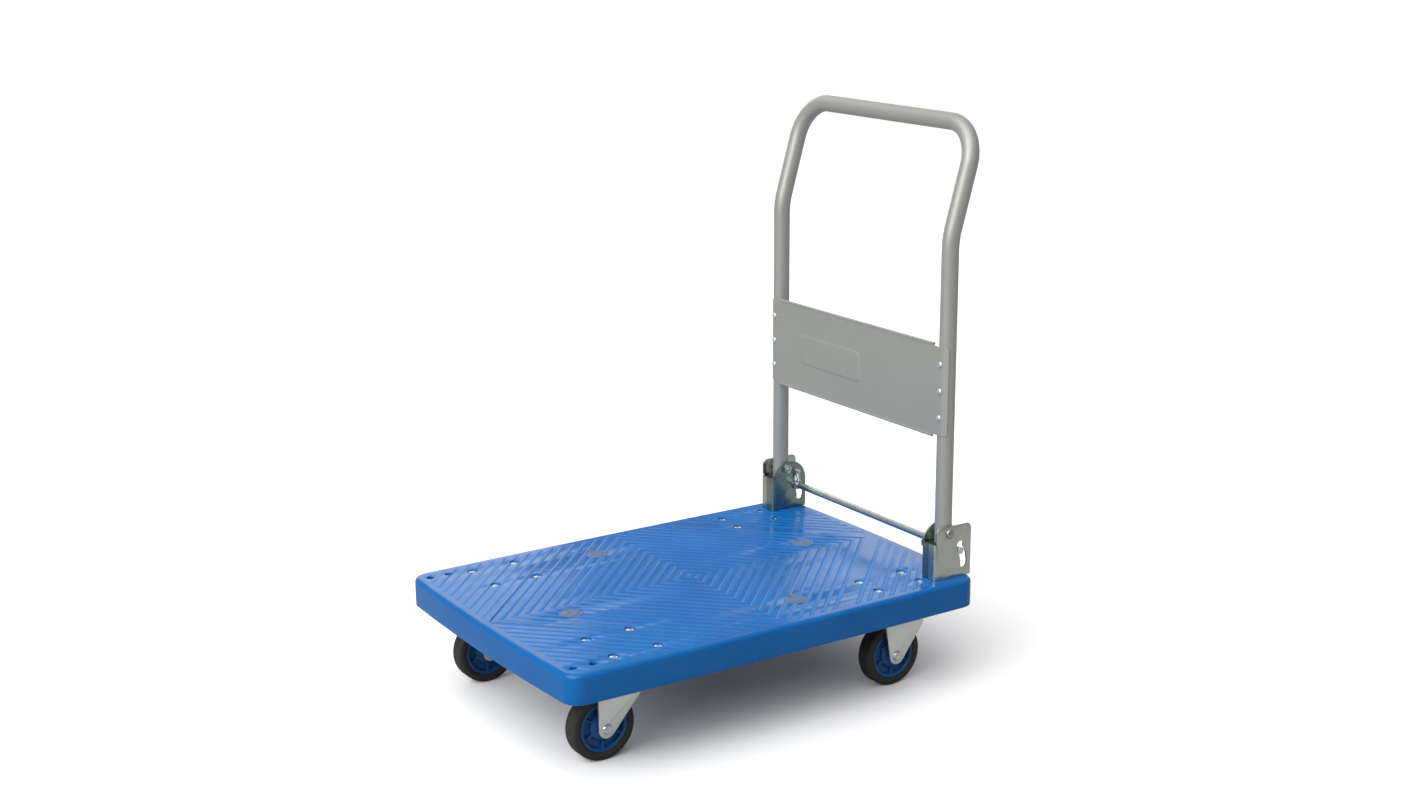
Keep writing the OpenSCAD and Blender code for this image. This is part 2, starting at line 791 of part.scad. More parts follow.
// The two cheeks of a fork, hanging from height top down to the axle
module cheeks(top, reach) {
    rise = top - axle_z;
    both_sides() {
        stand(-cheek_y - cheek_t, cheek_t) difference() {
            translate([0, axle_z]) cheek_shape(rise, reach);
            translate([0, axle_z]) circle(r = axle_d / 2 + run);
        }
        translate([-tip_r, -cheek_y, 0]) rotate([90, 0, 90]) linear_extrude(cheek_t)
            polygon([
                [-eps, axle_z + flange_low],
                [flange_w, top - flange_taper],
                [flange_w, top],
                [-eps, top]]);
    }
}

/* ---------- swivel casters ---------- */

module at_swivel() {
    translate([-swivel_x, -swivel_y, 0]) children();
}

module at_swivel_axle() {
    translate([-swivel_x - trail, -swivel_y, 0]) children();
}

module swivel_plate(far) {
    color(zinc) place() side(far) at_swivel() difference() {
        union() {
            mount_plate(swivel_holes, swivel_px + 2 * margin, swivel_py + 2 * margin);
            race(caster_h - plate_t - race_h + eps);
        }
        race_groove();
        cylinder(r = pin_d / 2 + run, h = caster_h + cut);
    }
}

module kingpin(far) {
    low = crown_z - plate_t - nut_h - 2 * pin_nut_gap;
    color(steel) place() side(far) at_swivel() {
        translate([0, 0, low]) cylinder(d = pin_d, h = caster_h - low + eps);
        translate([0, 0, caster_h]) cylinder(d1 = pin_head_d, d2 = pin_head_d - 6, h = pin_head_h);
    }
}

module kingpin_nuts() {
    color(steel) place() both_sides() at_swivel()
        translate([0, 0, crown_z - plate_t - nut_h - pin_nut_gap]) nut(pin_nut_d, pin_d + 2 * run, nut_h);
}

module swivel_balls(far) {
    color(steel) place() side(far) at_swivel() for (i = [0:ball_n - 1])
        rotate([0, 0, 360 * i / ball_n]) translate([race_r, 0, ball_z]) sphere(r = ball_r);
}

module swivel_fork(far) {
    reach = trail + crown_r;
    color(zinc) place() side(far) at_swivel() difference() {
        union() {
            translate([-trail, 0, 0]) cheeks(crown_z, reach);
            translate([-trail - tip_r, -cheek_y - cheek_t, crown_z - plate_t])
                cube([trail + tip_r + crown_r - crown_step, fork_gap + 2 * cheek_t, plate_t]);
            translate([0, 0, crown_z - plate_t]) cylinder(r = crown_r, h = plate_t);
            race(crown_z - eps);
        }
        race_groove();
        translate([0, 0, axle_z]) cylinder(r = pin_d / 2 + run, h = caster_h);
    }
}

/* ---------- fixed casters ---------- */

module at_fixed() {
    translate([fixed_x, -fixed_y, 0]) children();
}

// The cheeks are notched round the nuts of the mounting plate
module fixed_fork(far) {
    notch_low = caster_h - plate_t - nut_h - bolt_end - gap;
    color(zinc) place() side(far) at_fixed() {
        mount_plate(fixed_holes, fixed_px + 2 * margin, fixed_py + 2 * margin);
        difference() {
            cheeks(caster_h - plate_t + eps, cheek_reach);
            for (h = fixed_holes)
                translate([h.x, h.y, notch_low]) cylinder(d = nut_d + 2 * gap, h = caster_h - notch_low);
        }
    }
}

/* ---------- axles and wheels, drawn round x = y = 0 ---------- */

module axle() {
    y_out = cheek_y + cheek_t;
    rod_y(0, axle_z, -y_out - eps, y_out + nut_h + bolt_end, axle_d / 2);
    translate([0, -y_out, axle_z]) rotate([90, 0, 0])
        cylinder(d1 = axle_head_d, d2 = 0.75 * axle_head_d, h = axle_head_h);
}

module axle_nut() {
    translate([0, cheek_y + cheek_t, axle_z]) rotate([-90, 0, 0]) nut(nut_d, axle_d + 2 * run, nut_h);
}

module axle_bush() {
    difference() {
        rod_y(0, axle_z, -cheek_y, cheek_y, bush_r);
        rod_y(0, axle_z, -cheek_y - cut, cheek_y + cut, axle_d / 2 + run);
    }
}

module ring_profile(r0, r1, w) {
    translate([r0, -w / 2]) square([r1 - r0, w]);
}

module hub() {
    h = hub_w - 2 * spoke_step;
    l = hub_r - rim_t - boss_r;
    translate([0, 0, axle_z]) rotate([90, 0, 0]) {
        rotate_extrude() {
            ring_profile(bush_r + run, boss_r, boss_w);
            ring_profile(boss_r - eps, hub_r - rim_t + eps, web_t);
            ring_profile(hub_r - rim_t, hub_r, hub_w);
        }
        for (i = [0:spokes - 1])
            rotate([0, 0, 360 * i / spokes])
                translate([boss_r - cut, -spoke_t / 2, -h / 2]) cube([l + 2 * cut, spoke_t, h]);
    }
}

module tyre() {
    r_out = wheel_d / 2;
    translate([0, 0, axle_z]) rotate([90, 0, 0]) rotate_extrude() {
        ring_profile(hub_r + run, r_out - shoulder, tyre_w);
        ring_profile(hub_r + run, r_out, tyre_w - 2 * shoulder);
        for (s = [-1, 1]) translate([r_out - shoulder, s * (tyre_w / 2 - shoulder)]) circle(r = shoulder);
    }
}

module swivel_plate_near() { swivel_plate(false); }
module swivel_plate_far() { swivel_plate(true); }
module kingpin_near() { kingpin(false); }
module kingpin_far() { kingpin(true); }
module swivel_balls_near() { swivel_balls(false); }
module swivel_balls_far() { swivel_balls(true); }
module swivel_fork_near() { swivel_fork(false); }
module swivel_fork_far() { swivel_fork(true); }
module swivel_axle_near() { color(steel) place() at_swivel_axle() axle(); }
module swivel_axle_far() { color(steel) place() side(true) at_swivel_axle() axle(); }
module swivel_axle_nut_near() { color(steel) place() at_swivel_axle() axle_nut(); }
module swivel_axle_nut_far() { color(steel) place() side(true) at_swivel_axle() axle_nut(); }
module swivel_bush_near() { color(steel) place() at_swivel_axle() axle_bush(); }
module swivel_bush_far() { color(steel) place() side(true) at_swivel_axle() axle_bush(); }
module swivel_hub_near() { color(navy) place() at_swivel_axle() hub(); }
module swivel_hub_far() { color(navy) place() side(true) at_swivel_axle() hub(); }
module swivel_tyre_near() { color(rubber) place() at_swivel_axle() tyre(); }
module swivel_tyre_far() { color(rubber) place() side(true) at_swivel_axle() tyre(); }
module fixed_fork_near() { fixed_fork(false); }
module fixed_fork_far() { fixed_fork(true); }
module fixed_axles() { color(steel) place() both_sides() at_fixed() axle(); }
module fixed_axle_nuts() { color(steel) place() both_sides() at_fixed() axle_nut(); }
module fixed_bushes() { color(steel) place() both_sides() at_fixed() axle_bush(); }
module fixed_hub_near() { color(navy) place() at_fixed() hub(); }
module fixed_hub_far() { color(navy) place() side(true) at_fixed() hub(); }
module fixed_tyre_near() { color(rubber) place() at_fixed() tyre(); }
module fixed_tyre_far() { color(rubber) place() side(true) at_fixed() tyre(); }

deck();
deck_caps();
bracket_outer_near();
bracket_outer_far();
bracket_inner_near();
bracket_inner_far();
bracket_bolts();
bracket_nuts();
stop_blocks();
pivot_bolts();
pivot_nuts();
spring_posts();
handle_tube();
handle_end_plugs();
handle_panel();
panel_rivets();
pivot_bushes();
lock_rod();
rod_clips();
lock_springs();
caster_bolts();
caster_washers();
caster_nuts();
swivel_plate_near();
swivel_plate_far();
kingpin_near();
kingpin_far();
kingpin_nuts();
swivel_balls_near();
swivel_balls_far();
swivel_fork_near();
swivel_fork_far();
swivel_axle_near();
swivel_axle_far();
swivel_axle_nut_near();
swivel_axle_nut_far();
swivel_bush_near();
swivel_bush_far();
swivel_hub_near();
swivel_hub_far();
swivel_tyre_near();
swivel_tyre_far();
fixed_fork_near();
fixed_fork_far();
fixed_axles();
fixed_axle_nuts();
fixed_bushes();
fixed_hub_near();
fixed_hub_far();
fixed_tyre_near();
fixed_tyre_far();
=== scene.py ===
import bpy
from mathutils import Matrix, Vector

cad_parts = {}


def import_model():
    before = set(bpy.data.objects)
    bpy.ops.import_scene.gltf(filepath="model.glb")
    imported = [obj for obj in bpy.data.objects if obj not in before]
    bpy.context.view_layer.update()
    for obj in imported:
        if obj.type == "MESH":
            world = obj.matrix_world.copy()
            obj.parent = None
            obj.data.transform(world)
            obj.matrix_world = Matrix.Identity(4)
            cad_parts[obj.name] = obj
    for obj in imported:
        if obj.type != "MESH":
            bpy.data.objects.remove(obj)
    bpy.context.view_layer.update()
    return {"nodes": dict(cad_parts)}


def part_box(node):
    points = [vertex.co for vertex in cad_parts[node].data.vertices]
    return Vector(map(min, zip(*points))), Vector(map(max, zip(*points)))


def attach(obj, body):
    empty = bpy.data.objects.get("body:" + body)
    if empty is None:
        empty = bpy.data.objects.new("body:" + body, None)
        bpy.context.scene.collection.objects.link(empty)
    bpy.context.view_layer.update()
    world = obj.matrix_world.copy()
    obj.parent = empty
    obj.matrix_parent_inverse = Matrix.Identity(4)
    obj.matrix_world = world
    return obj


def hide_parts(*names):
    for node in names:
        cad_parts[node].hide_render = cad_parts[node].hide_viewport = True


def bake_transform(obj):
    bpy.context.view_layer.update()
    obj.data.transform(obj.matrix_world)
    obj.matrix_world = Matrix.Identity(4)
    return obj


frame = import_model()

import math
import random

import bmesh
import bpy
from mathutils import Matrix, Vector
from mathutils.geometry import tessellate_polygon

# Lengths below are in millimetres, in the CAD's own axes: X and Y from the middle of the deck, Z from
# the floor. Near pieces lie at -Y, and the far ones mirror them.
MM = 0.001
NODES = frame["nodes"]
SCENE = bpy.context.scene

DECK_LO, DECK_HI = [[c / MM for c in corner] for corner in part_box("deck")]
FRAME_X = (DECK_LO[0] + DECK_HI[0]) / 2   # the deck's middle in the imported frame
DECK_L = DECK_HI[0] - DECK_LO[0]
DECK_W = DECK_HI[1] - DECK_LO[1]
TREAD = 0.8
TOP = DECK_HI[2] - TREAD
LOW = DECK_LO[2]
SKIN = 4.0
SKIRT = 4.0
EDGE_R = 7.0
BOW_END = 8.0
BOW_SIDE = 3.5
CORNER_R = 24.0
WELL_D = 15.0
WELL_DEPTH = 7.5
HOLE_R = 5.5
CAP_R = 16.6
CASTER_H = 130.0
PLATE_T = 3.0

# heights above the deck
PIVOT_H = 71.0
ROD_H = 39.5
LEAN_H = 520.0
BAR_H = 683.0

TUBE_X = DECK_L / 2 - 46.5
TUBE_Y = 211.5
TUBE_R = 13.0
PIVOT_Z = TOP + PIVOT_H
CHANNEL = TUBE_R + 1.0
PLATE_Y = TUBE_Y + CHANNEL
BRACKET_X = TUBE_X - 28.0
BRACKET_L = 70.0
BRACKET_H = 83.0
BRACKET_T = 2.5
BEND_R = 5.0
WEB_H = PIVOT_H - TUBE_R - 1.5
OUTER_Y = PLATE_Y + BRACKET_T            # outer face of the outer plate
INNER_Y = TUBE_Y - CHANNEL - BRACKET_T   # inner face of the inner plate
FOOT_BOLTS = (BRACKET_X + 15, BRACKET_X + BRACKET_L - 15)
ROD_BACK = 23.5
ROD_X = TUBE_X + ROD_BACK
ROD_Z = TOP + ROD_H
ROD_R = 5.5
ROD_TRAVEL = 20.5
ROD_LIFT = 11.0
SLOPE = math.radians(11)
SLOT_R = ROD_R + 0.5
CLIP_T = 1.2
RUN = 0.05                               # clearance of pieces that slide or turn on each other

AXLE_Z = 50.0
SWIVEL = (-231.0, 173.0)
TRAIL = 38.0
FIXED = (235.0, 186.0)
CHEEK_Y = 19.0
CHEEK_T = 2.5
FORK_Y = CHEEK_Y + CHEEK_T
RACE_H = 9.0
CROWN_Z = CASTER_H - PLATE_T - RACE_H    # top of the swivel fork
KINGPIN_R = 6.0
BOLT_R = 4.0
NUT = (14.6, 6.5, 8.1)                   # across its corners, height, bore
NUT_H = NUT[1]

SWIVEL_HOLES = [(i * 36.0, j * 37.5) for i in (-1, 1) for j in (-1, 1)]
FIXED_HOLES = [(i * 40.0, j * 23.25) for i in (-1, 1) for j in (-1, 1)]
BOLTS = [(x + SWIVEL[0], y + s * SWIVEL[1]) for s in (-1, 1) for x, y in SWIVEL_HOLES]
BOLTS += [(x + FIXED[0], y + s * FIXED[1]) for s in (-1, 1) for x, y in FIXED_HOLES]
CAPS = [(-233, -35), (233, 35), (70, -171), (-70, 171)]
HOLES = [(27.5 - DECK_L / 2 + i * 30.5, s * (DECK_W / 2 - 33)) for s in (-1, 1) for i in (0, 1)]


# ---------- materials ----------

class Pattern:
    """Adds noise, ramps and bumps to one material; patterns read object coordinates in metres."""

    def __init__(self, mat):
        self.tree = mat.node_tree
        self.shader = self.tree.nodes["Principled BSDF"]
        self.place = self.tree.nodes.new("ShaderNodeTexCoord").outputs["Object"]
        self.normal = None

    def node(self, kind, **sockets):
        """A new node. Each named input, with _ for a space, gets a value or another node's output."""
        made = self.tree.nodes.new("ShaderNode" + kind)
        for name, value in sockets.items():
            into = made.inputs[name.replace("_", " ")]
            if isinstance(value, bpy.types.NodeSocket):
                self.tree.links.new(value, into)
            else:
                into.default_value = value
        return made

    def noise(self, scale, detail, rough=0.5, stretch=None):
        place = self.place
        if stretch:
            place = self.node("Mapping", Vector=place, Scale=stretch).outputs["Vector"]
        return self.node("TexNoise", Vector=place, Scale=scale, Detail=detail, Roughness=rough).outputs["Fac"]

    def spread(self, value, lo, hi, from_lo=0.3, from_hi=0.7):
        return self.node("MapRange", Value=value, From_Min=from_lo, From_Max=from_hi, To_Min=lo,
                         To_Max=hi).outputs["Result"]

    def ramp(self, value, dark, light):
        made = self.node("ValToRGB", Fac=value)
        for stop, position, colour in zip(made.color_ramp.elements, (0.3, 0.7), (dark, light)):
            stop.position = position
            stop.color = (*colour, 1)
        return made.outputs["Color"]

    def cover(self, under, colour, share):
        """Lays an even colour over another colour, by share."""
        mix = self.tree.nodes.new("ShaderNodeMix")
        mix.data_type = "RGBA"
        self.tree.links.new(share, mix.inputs[0])
        self.tree.links.new(under, mix.inputs[6])
        mix.inputs[7].default_value = (*colour, 1)
        return mix.outputs[2]

    def feed(self, socket, out):
        self.tree.links.new(out, self.shader.inputs[socket])

    def bump(self, out, depth):
        """depth is the real height in millimetres between the pattern's dark and light."""
        made = self.node("Bump", Height=out, Distance=depth * MM, Strength=1.0)
        if self.normal:
            self.tree.links.new(self.normal, made.inputs["Normal"])
        self.normal = made.outputs["Normal"]
        self.feed("Normal", self.normal)


def material(name, colour, metallic=0.0, roughness=0.5, specular=0.5):
    mat = bpy.data.materials.new(name)
    mat.use_nodes = True
    shader = mat.node_tree.nodes["Principled BSDF"]
    shader.inputs["Base Color"].default_value = (*colour, 1)
    shader.inputs["Metallic"].default_value = metallic
    shader.inputs["Roughness"].default_value = roughness
    shader.inputs["Specular IOR Level"].default_value = specular
    mat.diffuse_color = (*colour, 1)
    return mat


def surface(name, colour, shine, grain, tones, rough, bumps, cover=None):
    """A material whose colour, roughness and relief all vary.

    shine is (metallic, roughness, specular), and tones are the dark and light colours that the noise
    `grain` runs between. rough is (noise, least, most), bumps are (noise, depth) pairs, and cover is
    (noise, colour, least, most, ...) as in Pattern.spread. A noise is the arguments of Pattern.noise.
    """
    mat = material(name, colour, *shine)
    p = Pattern(mat)
    tone = p.ramp(p.noise(*grain), *tones)
    if cover:
        noise, over, *limits = cover
        tone = p.cover(tone, over, p.spread(p.noise(*noise), *limits))
    p.feed("Base Color", tone)
    if rough:
        noise, *limits = rough
        p.feed("Roughness", p.spread(p.noise(*noise), *limits))
    for noise, depth in bumps:
        p.bump(p.noise(*noise), depth)
    return mat


def gloss_blue(name, roughness, painted_lift):
    """Moulded blue plastic with fine scuffs along X; the last argument brightens its colour as painted light,
    for the lighter copy on the load face's ribs.
    """
    return surface(name, (0.0, 0.112 * painted_lift, 0.375 * painted_lift), (0.0, roughness, 0.25), (9, 3),
                   ((0.0, 0.103 * painted_lift, 0.350 * painted_lift), (0.002, 0.122 * painted_lift, 0.395 * painted_lift)),
                   ((40, 3), roughness - 0.03, roughness + 0.05), [((900, 1), 0.002), ((14, 1), 0.10)],
                   ((90, 4, 0.6, (1, 0.12, 1)), (0.01, 0.135, 0.41), 0.0, 0.25, 0.55, 0.8))


def zinc(name, colour, roughness, streak=(1, 1, 0.1)):
    """Zinc-plated steel, mottled, with a warm tinge and a fine grain along the streak's short axes."""
    dull = tuple(c * 0.90 for c in colour)
    warm = (min(colour[0] * 1.06, 1), min(colour[1] * 1.05, 1), colour[2] * 0.93)
    return surface(name, colour, (1.0, roughness), (40, 3), (dull, colour),
                   ((60, 3), roughness - 0.03, roughness + 0.04),
                   [((900, 3, 0.6, streak), 0.0012), ((30, 1), 0.04)], ((18, 2), warm, 0.0, 0.8))


BLUE = gloss_blue("blue_plastic", 0.17, 1.0)
# the ribs' copy of the blue plastic is 1.22 times lighter than the shell's: painted light on the top face
LIT_BLUE_TREAD = gloss_blue("blue_plastic_ribs_lit", 0.30, 1.22)
SLATE = surface("slate_plastic", (0.085, 0.135, 0.27), (0.0, 0.38, 0.4), (240, 4),
                ((0.07, 0.115, 0.235), (0.10, 0.155, 0.305)), ((300, 3), 0.38, 0.55), [((1600, 2), 0.02)])
SHEET = zinc("zinc_sheet", (0.53, 0.56, 0.515), 0.25)
DARK_SHEET = zinc("zinc_sheet_inner", (0.27, 0.345, 0.32), 0.28)
FORKS = zinc("zinc_fork", (0.79, 0.825, 0.83), 0.42)
ROD = zinc("zinc_rod", (0.72, 0.74, 0.73), 0.24, streak=(0.1, 0.02, 0.1))
SCREW = zinc("zinc_screw", (0.47, 0.45, 0.39), 0.34)
STEEL = surface("bright_steel", (0.62, 0.62, 0.61), (1.0, 0.27), (300, 3),
                ((0.60, 0.615, 0.63), (0.74, 0.755, 0.77)), ((700, 3), 0.20, 0.36), [((2200, 2), 0.006)])
SILVER = surface("silver_paint", (0.40, 0.405, 0.372), (0.5, 0.47, 0.4), (5200, 1),
                 ((0.375, 0.380, 0.348), (0.425, 0.430, 0.396)), ((90, 4), 0.43, 0.51),
                 [((1100, 2), 0.014)], ((14, 3), (0.38, 0.384, 0.355), 0.0, 0.5))
BLACK = surface("black_plastic", (0.02, 0.02, 0.021), (0.0, 0.5, 0.4), (200, 4),
                ((0.014, 0.014, 0.015), (0.03, 0.03, 0.031)), None, [((1300, 2), 0.02)])
NAVY = surface("navy_plastic", (0.004, 0.07, 0.23), (0.0, 0.33, 0.4), (80, 4),
               ((0.003, 0.06, 0.20), (0.006, 0.085, 0.265)), ((260, 3), 0.30, 0.46), [((1200, 2), 0.014)])
RUBBER = surface("tyre_rubber", (0.03, 0.028, 0.026), (0.0, 0.68, 0.35), (380, 4),
                 ((0.022, 0.0205, 0.019), (0.036, 0.033, 0.030)), ((40, 5, 0.7), 0.60, 0.80),
                 [((1500, 3), 0.03)], ((40, 5, 0.7), (0.075, 0.068, 0.060), 0.0, 0.35, 0.52, 0.8))


# ---------- mesh building ----------

def world(v):
    x, y, z = v
    return ((x + FRAME_X) * MM, y * MM, z * MM)


def new_object(name, data):
    obj = bpy.data.objects.new(name, data)
    SCENE.collection.objects.link(obj)
    return obj


class Build:
    """Collects vertices and faces of one piece."""

    def __init__(self):
        self.verts = []
        self.faces = []

    def add(self, verts, faces, matrix=None, mirror=False):
        start = len(self.verts)
        for v in verts:
            v = matrix @ Vector(v) if matrix else Vector(v)
            self.verts.append((v.x, -v.y if mirror else v.y, v.z))
        for f in faces:
            face = [start + i for i in f]
            self.faces.append(face[::-1] if mirror else face)
        return self

    def both(self, verts, faces, matrix=None):
        self.add(verts, faces, matrix)
        return self.add(verts, faces, matrix, mirror=True)

    def mesh(self, name):
        mesh = bpy.data.meshes.new(name)
        mesh.from_pydata([world(v) for v in self.verts], [], self.faces)
        return mesh

    def make(self, name, mat, body, slot, nodes=(), angle=38, merge=0.004):
        """Makes the piece. merge is how near two points are to become one, or 0 for none."""
        mesh = self.mesh(name)
        mesh.validate()
        obj = new_object(name, mesh)
        if merge:
            weld(mesh, merge)
        smooth(mesh, angle)
        mesh.materials.append(mat)
        if nodes:
            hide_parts(*nodes)
        if body:
            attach(obj, body)
        return obj


def weld(mesh, distance):
    bm = bmesh.new()
    bm.from_mesh(mesh)
    bmesh.ops.remove_doubles(bm, verts=bm.verts, dist=distance * MM)
    bmesh.ops.recalc_face_normals(bm, faces=bm.faces)
    bm.to_mesh(mesh)
    bm.free()


def smooth(mesh, angle):
    for face in mesh.polygons:
        face.use_smooth = True
    mesh.set_sharp_from_angle(angle=math.radians(angle))


def move(x=0, y=0, z=0):
    return Matrix.Translation((x, y, z))


ALONG_Y = Matrix.Rotation(math.radians(-90), 4, "X")   # turns +Z into +Y
ALONG_NEG_Y = Matrix.Rotation(math.radians(90), 4, "X")
UPSIDE_DOWN = Matrix.Rotation(math.pi, 4, "X")


def polar(r, degrees):
    return r * math.cos(math.radians(degrees)), r * math.sin(math.radians(degrees))


def loft(rings, closed_ring=True, cap_start=False, cap_end=False, closed_path=False):
    n = len(rings[0])
    verts = [p for ring in rings for p in ring]
    faces = []
    for k in range(len(rings) if closed_path else len(rings) - 1):
        a, b = k * n, ((k + 1) % len(rings)) * n
        for i in range(n if closed_ring else n - 1):
            j = (i + 1) % n
            faces.append((a + i, a + j, b + j, b + i))
    if cap_start:
        faces.append(tuple(range(n))[::-1])
    if cap_end:
        faces.append(tuple(range((len(rings) - 1) * n, len(rings) * n)))
    return verts, faces


def lathe(profile, segments=48, closed=False):
    """Turns (radius, height) points round Z. A radius of zero closes the end."""
    turns = [2 * math.pi * i / segments for i in range(segments)]
    return loft([[(r * math.cos(a), r * math.sin(a), z) for a in turns] for r, z in profile],
                closed_path=closed)


def box(xs, ys, zs):
    return ([(x, y, z) for x in xs for y in ys for z in zs],
            [(0, 1, 3, 2), (4, 6, 7, 5), (0, 4, 5, 1), (2, 3, 7, 6), (0, 2, 6, 4), (1, 5, 7, 3)])


def rounded(points, radius, steps):
    """A closed 2D polyline with its corners rounded. radius is a number or one for each corner."""
    out = []
    for i, p in enumerate(points):
        a, b = points[i - 1], points[(i + 1) % len(points)]
        r = radius[i] if isinstance(radius, list) else radius
        va = Vector((a[0] - p[0], a[1] - p[1]))
        vb = Vector((b[0] - p[0], b[1] - p[1]))
        if r <= 0 or va.length < 1e-6 or vb.length < 1e-6:
            out.append(p)
            continue
        ua, ub = va.normalized(), vb.normalized()
        half = ua.angle(ub) / 2
        if abs(half - math.pi / 2) < 1e-3:
            out.append(p)
            continue
        back = min(r / math.tan(half), va.length * 0.49, vb.length * 0.49)
        r = back * math.tan(half)
        start, end = Vector(p) + ua * back, Vector(p) + ub * back
        mid = Vector(p) + (ua + ub).normalized() * (r / math.sin(half))
        for k in range(steps + 1):
            q = start.lerp(end, k / steps) - mid
            out.append(tuple(mid + q.normalized() * r))
    return out


def circle(x, y, r, n=32):
    return [(x + r * math.cos(2 * math.pi * i / n), y + r * math.sin(2 * math.pi * i / n)) for i in range(n)]


def arc_points(cx, cy, r, a0, a1, n):
    return [(cx + x, cy + y) for x, y in (polar(r, a0 + (a1 - a0) * i / n) for i in range(n + 1))]


def area(loop):
    return sum(a[0] * b[1] - b[0] * a[1] for a, b in zip(loop, loop[1:] + loop[:1])) / 2


def inset(loop, d):
    """Moves a loop inwards by d if it runs anticlockwise, or outwards if it runs clockwise."""
    out = []
    for i, p in enumerate(loop):
        a, p, b = Vector(loop[i - 1]), Vector(p), Vector(loop[(i + 1) % len(loop)])
        u, v = (p - a).normalized(), (b - p).normalized()
        nu, nv = Vector((-u.y, u.x)), Vector((-v.y, v.x))
        k = max(1 + nu.dot(nv), 0.3)   # keeps a sharp corner from shooting out
        q = p + (nu + nv) * (d / k)
        out.append((q.x, q.y))
    return out


def plate(loops, thick, bevel=0.5):
    """A sheet with holes: loops[0] is its outline, the rest are holes. It lies from z = 0 to thick."""
    loops = [l if (area(l) > 0) == (i == 0) else l[::-1] for i, l in enumerate(loops)]
    flat = [inset(l, bevel) for l in loops]
    verts, faces, lower, upper = [], [], [], []
    for full, ins in zip(loops, flat):
        n, start = len(full), len(verts)
        mid = inset(full, bevel * 0.3)
        for ring, z in ((ins, 0), (mid, bevel * 0.3), (full, bevel), (full, thick - bevel),
                        (mid, thick - bevel * 0.3), (ins, thick)):
            verts += [(x, y, z) for x, y in ring]
        for k in range(start, start + 5 * n, n):
            for i in range(n):
                j = (i + 1) % n
                faces.append((k + i, k + j, k + n + j, k + n + i))
        lower += range(start, start + n)
        upper += range(start + 5 * n, start + 6 * n)
    for tri in tessellate_polygon([[Vector((x, y, 0)) for x, y in l] for l in flat]):
        a, b, c = (Vector(verts[lower[i]]) for i in tri)
        if (b - a).cross(c - a).z < 0:
            tri = tri[::-1]
        faces.append(tuple(upper[i] for i in tri))
        faces.append(tuple(lower[i] for i in tri[::-1]))
    return verts, faces


def upright(loops, y0, thick, bevel=0.5):
    """A plate whose outline is drawn in x and z, standing from y0 towards +Y."""
    verts, faces = plate(loops, thick, bevel)
    return [(x, y0 + thick - z, y) for x, y, z in verts], faces


def sweep(path, radius, sides, up=(0, 0, 1)):
    """A round bar along a path."""
    pts = [Vector(p) for p in path]
    rings = []
    side = None
    for i, p in enumerate(pts):
        t = (pts[min(i + 1, len(pts) - 1)] - pts[max(i - 1, 0)]).normalized()
        if side is None:
            side = t.cross(Vector(up))
        side = (side - t * side.dot(t)).normalized()
        other = t.cross(side)
        turns = [2 * math.pi * k / sides for k in range(sides)]
        rings.append([tuple(p + radius * (math.cos(a) * side + math.sin(a) * other)) for a in turns])
    return loft(rings, cap_start=True, cap_end=True)


def hexagon(d, h, bore=0.0):
    """A hexagonal nut or bolt head with its corners turned down at the top, from z = 0."""
    sixth = math.pi / 3
    flat = d / 2 * math.cos(sixth / 2)
    face_r = flat * 0.94
    columns = []
    for i in range(48):
        a = 2 * math.pi * i / 48
        q = flat / math.cos((a + sixth / 2) % sixth - sixth / 2)
        column = [(q - 0.25, 0), (q, 0.25), (q, h - (q - face_r) * math.tan(math.radians(30))), (face_r, h)]
        if bore:
            column += [(bore / 2 + 0.5, h), (bore / 2, h - 0.5), (bore / 2, 0)]
        columns.append([(r * math.cos(a), r * math.sin(a), z) for r, z in column])
    rings = list(zip(*columns))
    return loft(rings, closed_path=True) if bore else loft(rings, cap_start=True, cap_end=True)


def boolean_cut(obj, cutters, angle):
    """Cuts the cutters' solids out of obj and applies the result."""
    cutter = new_object("cutter", cutters.mesh("cutter"))
    weld(cutter.data, 0.001)
    mod = obj.modifiers.new("cut", "BOOLEAN")
    mod.operation = "DIFFERENCE"
    mod.solver = "EXACT"
    mod.object = cutter
    graph = bpy.context.evaluated_depsgraph_get()
    mesh = bpy.data.meshes.new_from_object(obj.evaluated_get(graph))
    obj.modifiers.clear()
    old, obj.data = obj.data, mesh
    bpy.data.meshes.remove(old)
    bpy.data.objects.remove(cutter)
    smooth(mesh, angle)


# ---------- deck ----------

def bowed(x, y, a, b):
    return (x + math.copysign(BOW_END, x) * (1 - (y / b) ** 2) if x else x,
            y + math.copysign(BOW_SIDE, y) * (1 - (x / a) ** 2) if y else y)


def outline(d, corner_n=18, side_n=22):
    """The deck seen from above, moved inwards by d, anticlockwise."""
    a = DECK_L / 2 - BOW_END - d
    b = DECK_W / 2 - BOW_SIDE - d
    r = max(CORNER_R - d, 0.5)
    middles = [(a - r, b - r), (r - a, b - r), (r - a, r - b), (a - r, r - b)]
    arcs = [arc_points(*middles[q], r, 90 * q, 90 * q + 90, corner_n) for q in range(4)]
    out = []
    for q in range(4):
        out += [bowed(x, y, a, b) for x, y in arcs[q]]
        p, s = arcs[q][-1], arcs[(q + 1) % 4][0]
        for i in range(1, side_n):
            t = i / side_n
            out.append(bowed(p[0] + (s[0] - p[0]) * t, p[1] + (s[1] - p[1]) * t, a, b))
    return out


def clip(poly, region):
    """The part of a polygon inside a convex anticlockwise region."""
    for a, b in zip(region, region[1:] + region[:1]):
        ex, ey = b[0] - a[0], b[1] - a[1]
        side = lambda p: ex * (p[1] - a[1]) - ey * (p[0] - a[0])
        out = []
        for i, p in enumerate(poly):
            q = poly[i - 1]
            sp, sq = side(p), side(q)
            if (sp >= 0) != (sq >= 0):
                t = sq / (sq - sp)
                out.append((q[0] + (p[0] - q[0]) * t, q[1] + (p[1] - q[1]) * t))
            if sp >= 0:
                out.append(p)
        poly = out
        if not poly:
            return []
    return poly


